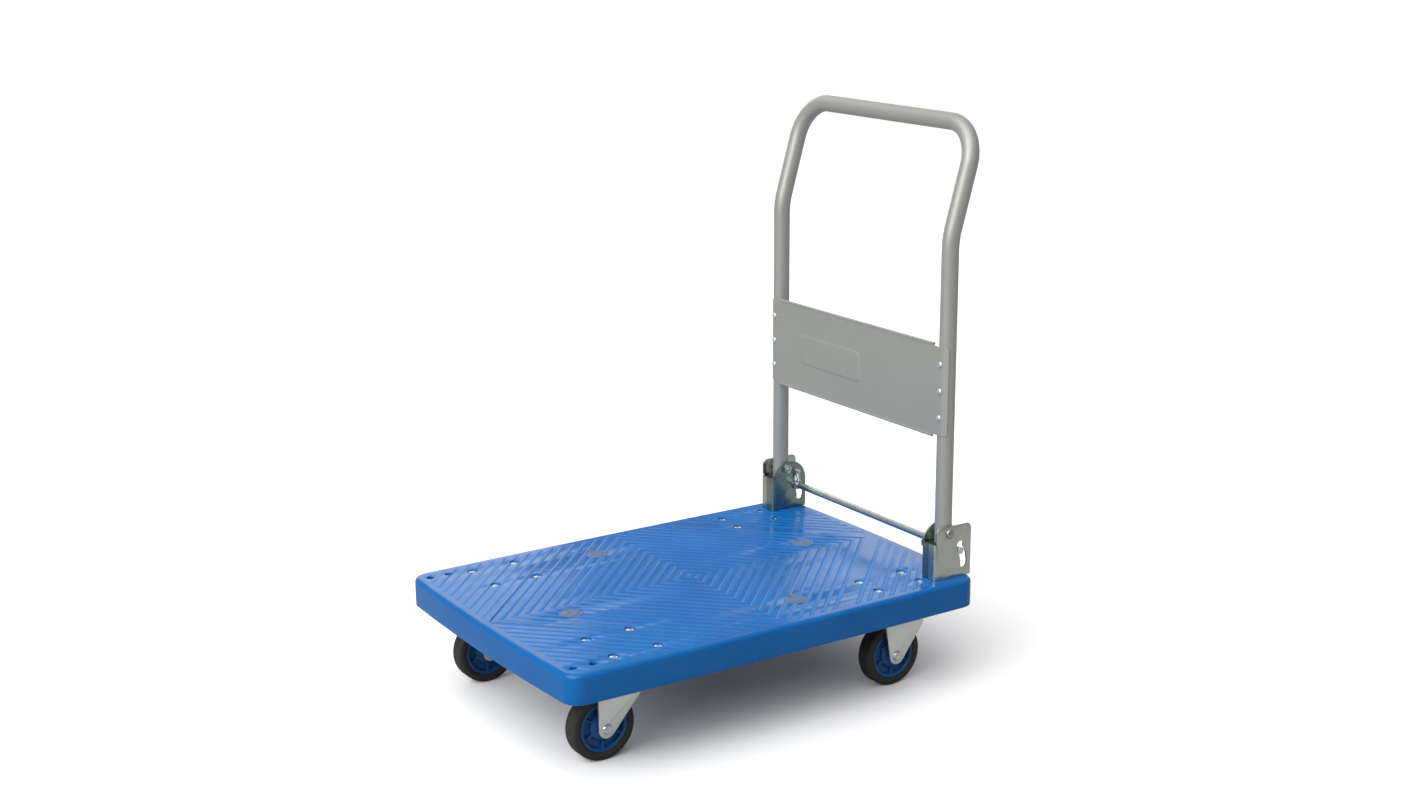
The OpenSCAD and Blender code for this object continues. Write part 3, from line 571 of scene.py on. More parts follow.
def without_doubles(loop, least=0.2):
    """A loop without the points that lie less than `least` from the one before."""
    out = []
    for p in loop:
        if not out or math.dist(p, out[-1]) > least:
            out.append(p)
    if len(out) > 1 and math.dist(out[0], out[-1]) <= least:
        out.pop()
    return out


def deck():
    b = Build()
    lip = 1.5   # rounding of the skirt's lower edge
    side_z = TOP - EDGE_R
    rings = []
    for i in range(9):
        x, z = polar(EDGE_R, 90 - 90 * i / 8)
        rings.append([(u, v, side_z + z) for u, v in outline(EDGE_R - x)])
    for k in range(1, 6):
        rings.append([(x, y, side_z + (LOW + lip - side_z) * k / 5) for x, y in outline(0)])
    for t in (30, 60, 90):
        x, z = polar(lip, t)
        rings.append([(u, v, LOW + lip - z) for u, v in outline(lip - x)])
    rings.append([(x, y, LOW) for x, y in outline(SKIRT)])
    b.add(*loft(rings))
    loops = [outline(EDGE_R)]
    for spots, r, depth, lip in ((BOLTS, WELL_D / 2, WELL_DEPTH, 0.7), (HOLES, HOLE_R, SKIN, 0.6),
                                 (CAPS, CAP_R, SKIN / 2, 0.5)):
        for x, y in spots:
            loops.append(circle(x, y, r + lip, 40)[::-1])
            rings = []
            for t in (0, 30, 60, 90):
                back, out = polar(lip, t)
                rings.append([(u, v, TOP - lip + back) for u, v in circle(x, y, r + lip - out, 40)])
            rings.append([(u, v, TOP - depth) for u, v in circle(x, y, r, 40)])
            b.add(*loft(rings))
    verts = [(x, y, TOP) for loop in loops for x, y in loop]
    faces = tessellate_polygon([[Vector((x, y, 0)) for x, y in loop] for loop in loops])
    b.add(verts, [tuple(f) for f in faces])
    # the underside keeps the CAD's ribs, pads and inner walls
    mesh = NODES["deck"].data
    co = [(v.co.x / MM - FRAME_X, v.co.y / MM, v.co.z / MM) for v in mesh.vertices]
    b.add(co, [tuple(f.vertices) for f in mesh.polygons
               if LOW + 0.05 < max(co[i][2] for i in f.vertices) <= TOP - SKIN / 2 + 0.05])
    b.make("deck_shell", BLUE, "root", "deck_blue", ["deck"], angle=32)


def tread():
    """Low ribs on the load face, in diamonds round the deck's middle."""
    pitch, half, seam, least_area = 21.2, 5.0, 0.15, 60
    profile = ((0, -0.3), (0, 0.03), (0.5, 0.28), (1.1, 0.52), (1.8, 0.69), (2.5, 0.78), (3.0, TREAD))
    b = Build()
    field = outline(15.0, 8, 8)
    for k in range(40):
        c = (k + 0.5) * pitch
        lo, hi = c - half, c + half
        for sx, sy in ((-1, -1), (-1, 1), (1, -1), (1, 1)):
            poly = [(seam * sx, lo * sy), (seam * sx, hi * sy), (hi * sx, seam * sy), (lo * sx, seam * sy)]
            if area(poly) < 0:
                poly = poly[::-1]
            poly = clip(poly, field)
            if len(poly) < 3 or abs(area(poly)) < least_area:
                continue
            poly = without_doubles(poly)
            if len(poly) < 3:
                continue
            b.add(*loft([[(x, y, TOP + z) for x, y in inset(poly, d)] for d, z in profile],
                        cap_start=True, cap_end=True))
    obj = b.make("deck_tread", LIT_BLUE_TREAD, "root", "deck_blue", merge=0.002)
    cut = Build()
    zs = (TOP - 3, TOP + 3)
    for spots, r, sides in ((BOLTS, WELL_D / 2 + 0.7, 32), (HOLES, HOLE_R + 0.6, 32), (CAPS, 18.2, 40)):
        for x, y in spots:
            cut.add(*lathe([(0, zs[0]), (r, zs[0]), (r, zs[1]), (0, zs[1])], sides), matrix=move(x, y))
    for s in (-1, 1):
        cut.add(*box((BRACKET_X - 1, DECK_L), (s * (INNER_Y - 1), s * DECK_W), zs))
    boolean_cut(obj, cut, 60)


def deck_caps():
    b = Build()
    profile = [(CAP_R - 0.2, -2), (CAP_R - 0.2, 0.02), (17.6, 0.02), (17.85, 0.2), (17.7, 0.5), (17.1, 0.72),
               (16.0, 0.78), (14.6, 0.76), (14.1, 0.35), (13.6, 0.35), (13.1, 0.72), (8, 0.76), (2.2, 0.76),
               (1.6, 0.45), (0, 0.4)]
    for x, y in CAPS:
        b.add(*lathe(profile, 56), matrix=move(x, y, TOP))
    b.make("deck_cap_discs", SLATE, "root", "cap_slate", ["deck_caps"])


# ---------- brackets ----------

def slot_loop():
    """Outline of the lock rod's slot: a slanted run that swings to one side and then to the other."""
    lobe = 1.6
    line = [Vector(c) for c in ((0, ROD_LIFT), (-lobe, ROD_LIFT - 1), (-lobe, 6), (0, 1), (lobe, -5),
                                (lobe, 3 - ROD_TRAVEL), (0, -ROD_TRAVEL))]
    sides = []
    for a, p, b in zip(line, line[1:], line[2:]):
        t = (b - a).normalized()
        sides.append((p, Vector((-t.y, t.x)) * SLOT_R))
    loop = [p + n for p, n in sides]
    loop += [line[-1] + Vector(polar(SLOT_R, a)) for a in range(345, 180, -15)]
    loop += [p - n for p, n in reversed(sides)]
    loop += [line[0] + Vector(polar(SLOT_R, a)) for a in range(165, 0, -15)]
    c, s = math.cos(SLOPE), math.sin(SLOPE)
    return [(ROD_X + q.x * c - q.y * s, ROD_Z + q.x * s + q.y * c) for q in loop]


def bend_strip(points, z_lo, z_hi, thick, bevel=0.5):
    """A bent sheet: its middle line is drawn in x and y, and it stands from z_lo to z_hi."""
    h = thick / 2
    section = ((bevel - h, z_lo), (h - bevel, z_lo), (h, z_lo + bevel), (h, z_hi - bevel),
               (h - bevel * 0.3, z_hi - bevel * 0.3), (h - bevel, z_hi), (bevel - h, z_hi),
               (bevel * 0.3 - h, z_hi - bevel * 0.3), (-h, z_hi - bevel), (-h, z_lo + bevel))
    pts = [Vector(p) for p in points]
    rings = []
    for i, p in enumerate(pts):
        t = (pts[min(i + 1, len(pts) - 1)] - pts[max(i - 1, 0)]).normalized()
        n = Vector((-t.y, t.x))
        rings.append([(*(p + n * u), z) for u, z in section])
    return loft(rings, cap_start=True, cap_end=True)


def web(y, side):
    """A bracket plate's bend, from the plate at y, and its half of the front web; side is 1 or -1."""
    mid = BRACKET_T / 2
    r = BEND_R - mid
    path = [(BRACKET_X + BEND_R + 0.4, y)]
    path += arc_points(BRACKET_X + BEND_R, y + side * r, r, -90 * side, -180 * side, 8)
    path += [(BRACKET_X + mid, -TUBE_Y - side * q) for q in (8, 0.35)]
    return bend_strip(path[::side], TOP, TOP + WEB_H, BRACKET_T)


def brackets():
    mid = BRACKET_T / 2
    pivot, slot = circle(TUBE_X, PIVOT_Z, BOLT_R + 0.3, 32), slot_loop()
    x0, x_end = BRACKET_X + BEND_R, BRACKET_X + BRACKET_L
    z_web, z_top = TOP + WEB_H, TOP + BRACKET_H
    for name, far in (("near", False), ("far", True)):
        shape = rounded([(x0, TOP), (x_end, TOP), (x_end, z_top), (BRACKET_X + 2, z_top),
                         (BRACKET_X + 2, z_web + 2), (x0, z_web + 0.4)], [0.8, 2.5, 9, 9, 2.5, 1.5], 7)
        b = Build()
        b.add(*upright([shape, pivot, slot], -OUTER_Y, BRACKET_T), mirror=far)
        b.add(*web(-PLATE_Y - mid, 1), mirror=far)
        b.make(f"bracket_outer_{name}_sheet", SHEET, "root", "zinc_sheet", [f"bracket_outer_{name}"])
        r = BRACKET_L / 2 - 1
        y_in = CHANNEL - TUBE_Y
        arch = [(x0, TOP), (BRACKET_X + 2 * r, TOP), *arc_points(BRACKET_X + r, z_top - r, r, 0, 180, 36),
                (BRACKET_X, z_web + 2), (x0, z_web + 0.4)]
        b = Build()
        b.add(*upright([arch, pivot, slot], y_in, BRACKET_T), mirror=far)
        b.add(*web(y_in + mid, -1), mirror=far)
        xs, ys = (BRACKET_X + BRACKET_T, x_end - 2), (-PLATE_Y + 0.1, y_in + 0.5)
        base = rounded([(xs[0], ys[0]), (xs[1], ys[0]), (xs[1], ys[1]), (xs[0], ys[1])], 1.5, 3)
        holes = [circle(x, -TUBE_Y, BOLT_R + 0.3, 24) for x in FOOT_BOLTS]
        b.add(*plate([base] + holes, BRACKET_T, 0.4), matrix=move(0, 0, TOP), mirror=far)
        b.make(f"bracket_inner_{name}_sheet", DARK_SHEET, "root", "zinc_sheet", [f"bracket_inner_{name}"])
    head = [(0, 1.0), (2.2, 1.0), (2.6, 4.0), (4.5, 3.8), (6.8, 2.8), (7.8, 1.2), (8.0, 0.3), (7.6, 0)]
    end = 124.5
    bolts, nuts = Build(), Build()
    for x in FOOT_BOLTS:
        bolts.both(*lathe(head, 40), matrix=move(x, -TUBE_Y, TOP + BRACKET_T))
        bolts.both(*lathe([(BOLT_R, TOP + BRACKET_T), (BOLT_R, end + 1), (3.4, end), (0, end)], 32),
                   matrix=move(x, -TUBE_Y))
        nuts.both(*hexagon(*NUT), matrix=move(x, -TUBE_Y, 132) @ UPSIDE_DOWN)
    bolts.make("bracket_bolt_set", STEEL, "root", "bright_steel", ["bracket_bolts"])
    nuts.make("bracket_nut_set", STEEL, "root", "bright_steel", ["bracket_nuts"])


def pivot_parts():
    """The pivot screws, with a cross recess, and their nuts."""
    length = OUTER_Y - INNER_Y + NUT_H + 1
    here = move(TUBE_X, -OUTER_Y, PIVOT_Z)
    head = [(0, 3.6), (2, 3.55), (4, 3.3), (5.6, 2.7), (6.8, 1.8), (7.4, 0.8), (7.5, 0.25), (7.2, 0), (4, 0)]
    shank = [(BOLT_R, 0.5), (BOLT_R, 0.7 - length), (3.4, -length), (0, -length)]
    b = Build().both(*lathe(head, 56), matrix=here @ ALONG_NEG_Y)
    b.both(*lathe(shank, 40), matrix=here @ ALONG_NEG_Y)
    obj = b.make("pivot_screws", SCREW, "root", "bright_steel", ["pivot_bolts"])
    cross = Build()
    for a in (20, 110):
        cross.both(*box((-4.3, 4.3), (-2.6, 2.6), (-1, 1)),
                   matrix=move(TUBE_X, -OUTER_Y - 3.7, PIVOT_Z) @ Matrix.Rotation(math.radians(a), 4, "Y"))
    boolean_cut(obj, cross, 38)
    b = Build().both(*hexagon(*NUT), matrix=move(TUBE_X, -INNER_Y, PIVOT_Z) @ ALONG_Y)
    b.make("pivot_nut_set", STEEL, "root", "bright_steel", ["pivot_nuts"])


# ---------- handle ----------

LEAN = math.radians(16.26)
LEAN_R = 120.0
BEND_BAR_R = 60.0
LEAN_START = TOP + LEAN_H - LEAN_R * math.tan(LEAN / 2)
LEAN_X = TUBE_X + LEAN_R * (1 - math.cos(LEAN))
LEAN_Z = LEAN_START + LEAN_R * math.sin(LEAN)
LEAN_LEN = (TOP + BAR_H - LEAN_Z) / math.cos(LEAN) - BEND_BAR_R
# the tail below the pivot is just short enough to swing past the lock rod
TAIL_Z = PIVOT_Z - math.sqrt((math.hypot(ROD_BACK, PIVOT_H - ROD_H) - SLOT_R) ** 2 - TUBE_R ** 2)


def handle_path(low):
    """Middle line of the tube, up the near side, along the bar and down the far side."""
    along = Vector((math.sin(LEAN), 0, math.cos(LEAN)))
    pts = [Vector((TUBE_X, -TUBE_Y, low + (LEAN_START - low) * i / 10)) for i in range(10)]
    for i in range(13):
        a = LEAN * i / 12
        pts.append(Vector((TUBE_X + LEAN_R * (1 - math.cos(a)), -TUBE_Y, LEAN_START + LEAN_R * math.sin(a))))
    for i in range(29):
        a = math.pi / 2 * i / 28
        base = Vector((LEAN_X, BEND_BAR_R * (1 - math.cos(a)) - TUBE_Y, LEAN_Z))
        pts.append(base + (LEAN_LEN + BEND_BAR_R * math.sin(a)) * along)
    return pts + [Vector((p.x, -p.y, p.z)) for p in reversed(pts)]


def handle():
    b = Build().add(*sweep(handle_path(TAIL_Z + 2), TUBE_R, 48, up=(0, 1, 0)))
    b.make("handle_tube_bent", SILVER, "handle", "silver_paint", ["handle_tube"], angle=50)
    plug = [(0, 0), (11.6, 0), (12.6, 0.4), (TUBE_R, 1.2), (TUBE_R, 2.2), (11.4, 2.4)]
    b = Build().both(*lathe(plug, 48), matrix=move(TUBE_X, -TUBE_Y, TAIL_Z))
    b.make("handle_plug_set", BLACK, "handle", "black_plastic", ["handle_end_plugs"])
    play, wall = 0.25, 6.0
    length = 2 * CHANNEL - 2 * play
    bush = [(BOLT_R + RUN, 0), (wall - 0.4, 0), (wall, 0.4), (wall, length - 0.4), (wall - 0.4, length),
            (BOLT_R + RUN, length)]
    b = Build().both(*lathe(bush, 40, closed=True), matrix=move(TUBE_X, play - PLATE_Y, PIVOT_Z) @ ALONG_Y)
    b.make("pivot_bush_set", STEEL, "handle", "bright_steel", ["pivot_bushes"])


def field_height(y, z):
    """Height of the raised field on the panel at y across and z up from the panel's lower edge."""
    corners = [(-15.0, 95.0), (148.0, 95.0), (133.0, 48.0), (-19.0, 48.0)]
    radius, rise, slope = 7.0, 1.1, 3.0
    past = []   # how far the point lies outside each side
    for p, q in zip(corners, corners[1:] + corners[:1]):
        ex, ez = q[0] - p[0], q[1] - p[1]
        past.append((ex * (z - p[1]) - ez * (y - p[0])) / math.hypot(ex, ez))
    depth = -max(past)
    if depth < radius:
        depth = radius - math.sqrt(sum(max(d + radius, 0) ** 2 for d in past))
    t = min(max(depth / slope + 0.5, 0), 1)
    return rise * t * t * (3 - 2 * t)


def panel():
    thick, height = 1.2, 145
    low = TOP + 219
    high = low + height
    roll = 2.2          # outer radius of the rolled hems
    proud = 0.9         # how far the hems stand out of the front face
    notch = 5.0         # how much lower the wraps are than the hems
    wrap = 36           # degrees of each upright that the sheet follows past its front
    lip = 5.5           # straight lip past the wrap, which stands off the tube a little
    corner = 4.0        # radius of the lips' corners
    hem_y = TUBE_Y - TUBE_R - 2.5
    x_sheet = TUBE_X - TUBE_R - RUN
    x_front = x_sheet - thick
    r_mid = TUBE_R + RUN + thick / 2
    bend, straight, across, rows = 12, 7, 236, 84

    # columns of the sheet seen from above: x, y and the direction that faces outwards
    nx, ny = polar(1, 180 + wrap)
    leave = (TUBE_X + r_mid * nx, -TUBE_Y + r_mid * ny)
    steps = [lip * (1 - i / straight) for i in range(straight)]
    wrapped = [(leave[0] - ny * s, leave[1] + nx * s, nx, ny) for s in steps]
    for i in range(bend + 1):
        nx, ny = polar(1, 180 + wrap * (1 - i / bend))
        wrapped.append((TUBE_X + r_mid * nx, -TUBE_Y + r_mid * ny, nx, ny))
    columns = wrapped + [(x_sheet - thick / 2, -TUBE_Y + 2 * TUBE_Y * i / across, -1, 0)
                         for i in range(1, across)]
    columns += [(x, -y, nx, -ny) for x, y, nx, ny in reversed(wrapped)]
    last = len(columns) - 1

    def cut_back(i, y):
        """How far the sheet's edge stands back from the panel's full height."""
        back = roll + (notch - roll) * min(max((abs(y) - hem_y) / 2.2, 0), 1)
        along = min(i, last - i) * lip / straight
        if along < corner:
            back += corner - math.sqrt(corner ** 2 - (corner - along) ** 2)
        return back

    def face(offset):
        rings = []
        for i, (x, y, nx, ny) in enumerate(columns):
            back = cut_back(i, y)
            ring = []
            for k in range(rows + 1):
                z = low + back + (high - low - 2 * back) * k / rows
                d = offset + (field_height(y, z - low) if abs(y) < 190 else 0.0)
                ring.append((x + nx * d, y + ny * d, z))
            rings.append(ring)
        return rings

    front, back = face(thick / 2), face(-thick / 2)
    b = Build().add(*loft(front, closed_ring=False))
    verts, faces = loft(back, closed_ring=False)
    b.add(verts, [f[::-1] for f in faces])
    # the sheet's rounded edge
    ring = [(i, 0) for i in range(last + 1)] + [(last, k) for k in range(1, rows)]
    ring += [(i, rows) for i in range(last, -1, -1)] + [(0, k) for k in range(rows - 1, 0, -1)]
    middle = []
    for i, k in ring:
        m = (Vector(front[i][k]) + Vector(back[i][k])) / 2
        m.z += {0: -0.35, rows: 0.35}.get(k, 0.0)
        middle.append(tuple(m))
    b.add(*loft([[front[i][k] for i, k in ring], middle, [back[i][k] for i, k in ring]]))
    # rolled hems, curling back from the front face, open at their ends
    curl = [180 - 300 * i / 30 for i in range(31)]
    x_hem = x_front - proud + roll
    section = [(x_hem + x, z) for x, z in (polar(roll, a) for a in curl)]
    section += [(x_hem + x, z) for x, z in (polar(roll - thick, a) for a in reversed(curl))]
    section += [(x_front + thick, -2.6), (x_front + RUN, -2.6), (x_front - proud, -0.6)]
    for edge, side in ((high, 1), (low, -1)):
        rings = [[(x, y, edge + side * (z - roll)) for x, z in section][::side]
                 for y in (-hem_y, -hem_y / 2, hem_y / 2, hem_y)]
        b.add(*loft(rings, cap_start=True, cap_end=True))
    b.make("handle_panel_sheet", SILVER, "handle", "silver_paint", ["handle_panel"], angle=40, merge=0.01)
    b = Build()
    dome = [(4.7, -0.15), (4.7, 0.3), (4.45, 1.0), (3.75, 1.6), (2.6, 2.05), (1.3, 2.3), (0, 2.35)]
    to_front = Matrix.Rotation(math.radians(-90), 4, "Y")
    mid = (low + high) / 2
    for z in (mid - 41, mid, mid + 41):
        b.both(*lathe(dome, 36), matrix=move(x_front, -TUBE_Y, z) @ to_front)
    b.make("panel_rivet_domes", FORKS, "handle", "bright_steel", ["panel_rivets"])


# ---------- lock rod ----------

CLIP_Y = INNER_Y - 0.5 - CLIP_T   # inner face of a retaining clip


def lock_rod():
    end, clip_end = OUTER_Y - 1, CLIP_Y + CLIP_T + 2 * RUN
    r, groove = ROD_R, ROD_R - 1
    half = [(0, -end), (r - 1.1, -end), (r - 0.5, -end + 0.25), (r, -end + 0.9), (r, -clip_end),
            (groove, -clip_end), (groove, -CLIP_Y), (r, -CLIP_Y)]
    half += [(r, CLIP_Y * (k / 6 - 1)) for k in range(1, 6)]
    profile = half + [(q, -z) for q, z in reversed(half)]
    b = Build().add(*lathe(profile, 48), matrix=move(ROD_X, 0, ROD_Z) @ ALONG_Y)
    b.make("lock_rod_bar", ROD, "rod", "zinc_rod", ["lock_rod"], angle=30)
    # a retaining clip is a flat ring, open at the front
    loop = [polar(r + 3, a) for a in range(38, 323, 8)]
    loop += [polar(groove + 0.1, a) for a in range(318, 41, -8)]
    loop = rounded([(ROD_X + x, ROD_Z + z) for x, z in loop], 0.3, 1)
    b = Build().both(*upright([loop], 0, CLIP_T, 0.2), matrix=move(0, -CLIP_Y - RUN - CLIP_T, 0))
    b.make("rod_clip_set", STEEL, "rod", "bright_steel", ["rod_clips"])


def springs():
    wire, d, rise, post_r = 1.2, 7.0, 27.0, 2.0
    y = CLIP_Y - 0.5 - d / 2
    coil = (d - wire) / 2
    low_hook = ROD_R + RUN + wire / 2
    high_hook = post_r + RUN + wire / 2

    def eye(r, start, turn, z0):
        return [(x, 0, z0 + z) for x, z in (polar(r, start + turn * i / 26) for i in range(27))]

    # an eye round the rod, the coil, and an eye round the post
    path = [p for p in eye(low_hook, 90, 300, 0)[::-1] if p[2] < low_hook - 0.2]
    start, end = low_hook + 2.2, rise - high_hook - 2.0
    steps = 20
    count = int((end - start) / (wire * 1.06)) * steps
    for i in range(count + 1):
        a = 2 * math.pi * i / steps
        path.append((coil * math.sin(a), coil * math.cos(a), start + (end - start) * i / count))
    path += eye(high_hook, -90, 320, rise)
    tilt = Matrix.Rotation(-SLOPE, 4, "Y")
    place = move(ROD_X, -y, ROD_Z) @ tilt
    b = Build().both(*sweep(path, wire / 2, 10), matrix=place)
    obj = b.make("lock_spring_coils", STEEL, None, "bright_steel", merge=0)
    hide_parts("lock_springs")
    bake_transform(obj)
    out = d / 2 - y + 0.5 + INNER_Y   # length of the post up to its head
    pin = [(0, 0), (post_r, 0), (post_r, out - 0.2), (3.3, out), (3.5, out + 0.4), (3.3, out + 1.3),
           (2.6, out + 1.5), (0, out + 1.5)]
    b = Build().both(*lathe(pin, 32), matrix=move(ROD_X, 0, ROD_Z) @ tilt @ move(0, -INNER_Y, rise) @ ALONG_Y)
    b.make("spring_post_set", STEEL, "root", "bright_steel", ["spring_posts"])


# ---------- casters ----------

def caster_fasteners():
    bolts, washers, nuts = Build(), Build(), Build()
    well = TOP - WELL_DEPTH
    seat, end = well + 1.5, 119.5
    shank = [(BOLT_R, seat + 0.4), (BOLT_R, end + 0.7), (3.3, end), (0, end)]
    ring = [(BOLT_R + RUN, 0), (7.0, 0), (7.3, 0.3), (7.3, 1.2), (7.0, 1.5), (BOLT_R + RUN, 1.5)]
    rnd = random.Random(7)
    for x, y in BOLTS:
        turn = Matrix.Rotation(rnd.uniform(0, math.pi / 3), 4, "Z")
        bolts.add(*hexagon(13, 5), matrix=move(x, y, seat) @ turn)
        bolts.add(*lathe(shank, 32), matrix=move(x, y))
        washers.add(*lathe(ring, 40, closed=True), matrix=move(x, y, well))
        nuts.add(*hexagon(*NUT), matrix=move(x, y, CASTER_H - PLATE_T) @ UPSIDE_DOWN @ turn)
    bolts.make("caster_bolt_set", STEEL, "root", "bright_steel", ["caster_bolts"])
    washers.make("caster_washer_set", STEEL, "root", "bright_steel", ["caster_washers"])
    nuts.make("caster_nut_set", STEEL, "root", "bright_steel", ["caster_nuts"])


def hub_mesh():
    """A hub round the origin, its axis along Z, with six ribs on each face."""
    boss, rim, web_z = 18.0, 12.0, 3.0   # half widths
    side = [(6.25, boss - 0.6), (6.85, boss), (11.4, boss), (12.3, boss - 0.9), (12.8, 10.6), (13.6, 10.0),
            (19.0, 9.8), (19.8, 9.2), (20.3, 5.2), (21.2, web_z + 0.6), (22.5, web_z), (26, web_z),
            (29.5, web_z), (31.3, web_z + 0.8), (32.1, web_z + 2.6), (32.6, rim - 1.0), (33.5, rim),
            (36.7, rim), (37.45, rim - 0.7)]
    b = Build().add(*lathe(side + [(r, -z) for r, z in reversed(side)], 96, closed=True))
    for i in range(6):
        turn = Matrix.Rotation(2 * math.pi * i / 6 + math.pi / 6, 4, "Z")
        for s in (-1, 1):
            rings = []
            for k in range(7):
                x = 19.4 + (32.8 - 19.4) * k / 6
                flare = k in (0, 6)
                h, w = (9.1, 2.5) if flare else (8.2, 1.5)
                half = [(w + 0.7, 2.5), (w, 4.2), (w - 0.1, h - 0.5), (w - 0.6, h)]
                rings.append([(x, -y, s * z) for y, z in half] + [(x, y, s * z) for y, z in half[::-1]])
            b.add(*loft([r[::s] for r in rings], cap_start=True, cap_end=True), matrix=turn)
    return b.verts, b.faces


def tyre_mesh():
    outer, inner, half = 50.0, 37.55, 13.5
    side = [(inner, half - 2.2), (inner + 0.6, half - 1.2), (inner + 1.6, half - 0.8),
            (inner + 2.6, half - 0.9), (inner + 3.0, half - 0.2), (inner + 4.0, half), (42.5, half),
            (44.5, half - 0.12)]
    for a in range(0, 91, 10):
        z, r = polar(1, a)
        side.append((45 + 5 * r, half - 5 + 4.75 * z))
    side += [(outer, 6.5), (outer, 3.0), (outer, 0.35), (outer, 0.0)]
    return lathe(side + [(r, -z) for r, z in reversed(side[:-1])], 112, closed=True)


def fork_mesh(fixed):
    """A fork's cheeks and their flanges, with the axle over x = y = 0."""
    b = Build()
    top = CASTER_H - PLATE_T if fixed else CROWN_Z
    reach = 50.0 if fixed else TRAIL + 36.0
    rise = top - AXLE_Z
    slope = 50.0 / 44.0
    pz = min(rise, reach / slope)
    px = pz * slope
    tip = 13.5
    qx, qz = (-26.0 if fixed else -tip), rise
    start = math.atan2(qz, qx) + math.acos(tip / math.hypot(qx, qz))
    end = math.atan2(pz, px) - math.acos(tip / math.hypot(px, pz)) + 2 * math.pi
    turns = [start + (end - start) * i / 24 for i in range(25)]
    shape = [(tip * math.cos(a), tip * math.sin(a)) for a in turns]
    foot_x, foot_z = shape[0]
    shape.append((px, pz))
    radii = [0] * 25 + [6]
    if rise - pz > 0.5:
        shape.append((px, rise))
        radii.append(0.5)
    shape = rounded([(x, z + AXLE_Z) for x, z in shape + [(qx, qz)]], radii + [0.5], 6)
    b.both(*upright([shape, circle(0, AXLE_Z, 4.1, 28)], -FORK_Y, CHEEK_T, 0.6))
    # the flange along the leading edge, turned inwards, grows from nothing near the axle and, on a
    # fixed fork, reaches in over the tyre
    beside = CHEEK_Y - 13.5 - 1
    z_lo = AXLE_Z + 12
    y0 = -CHEEK_Y - 1.0
    rings = []
    for i in range(27):
        z = z_lo + (top - z_lo) * i / 26
        x = foot_x + (qx - foot_x) * (z - AXLE_Z - foot_z) / (rise - foot_z)
        k = min((z - z_lo) / (top - 20 - z_lo), 1)
        w = 0.4 + (beside - 0.4) * (k * k * (3 - 2 * k) * 0.5 + k * 0.5)
        if fixed:
            w += 11 * min(max((math.hypot(x + 2.5, z - AXLE_Z) - 51.5) / 12, 0), 1)
        y1 = -CHEEK_Y + w
        rings.append([(x + 0.1, y0, z), (x + 0.1, y1 - 0.5, z), (x + 0.4, y1, z), (x + 2.1, y1, z),
                      (x + 2.5, y1 - 0.5, z), (x + 2.5, y0, z)])
    return b.both(*loft(rings, cap_start=True, cap_end=True))


def mounting_plate(pattern, *holes):
    """A caster's mounting plate, 10 mm wider all round than its bolt pattern."""
    x, y = (max(axis) + 10 for axis in zip(*pattern))
    shape = rounded([(-x, -y), (x, -y), (x, y), (-x, y)], 7, 6)
    return plate([shape, *(circle(u, v, 4.2, 24) for u, v in pattern), *holes], PLATE_T, 0.6)


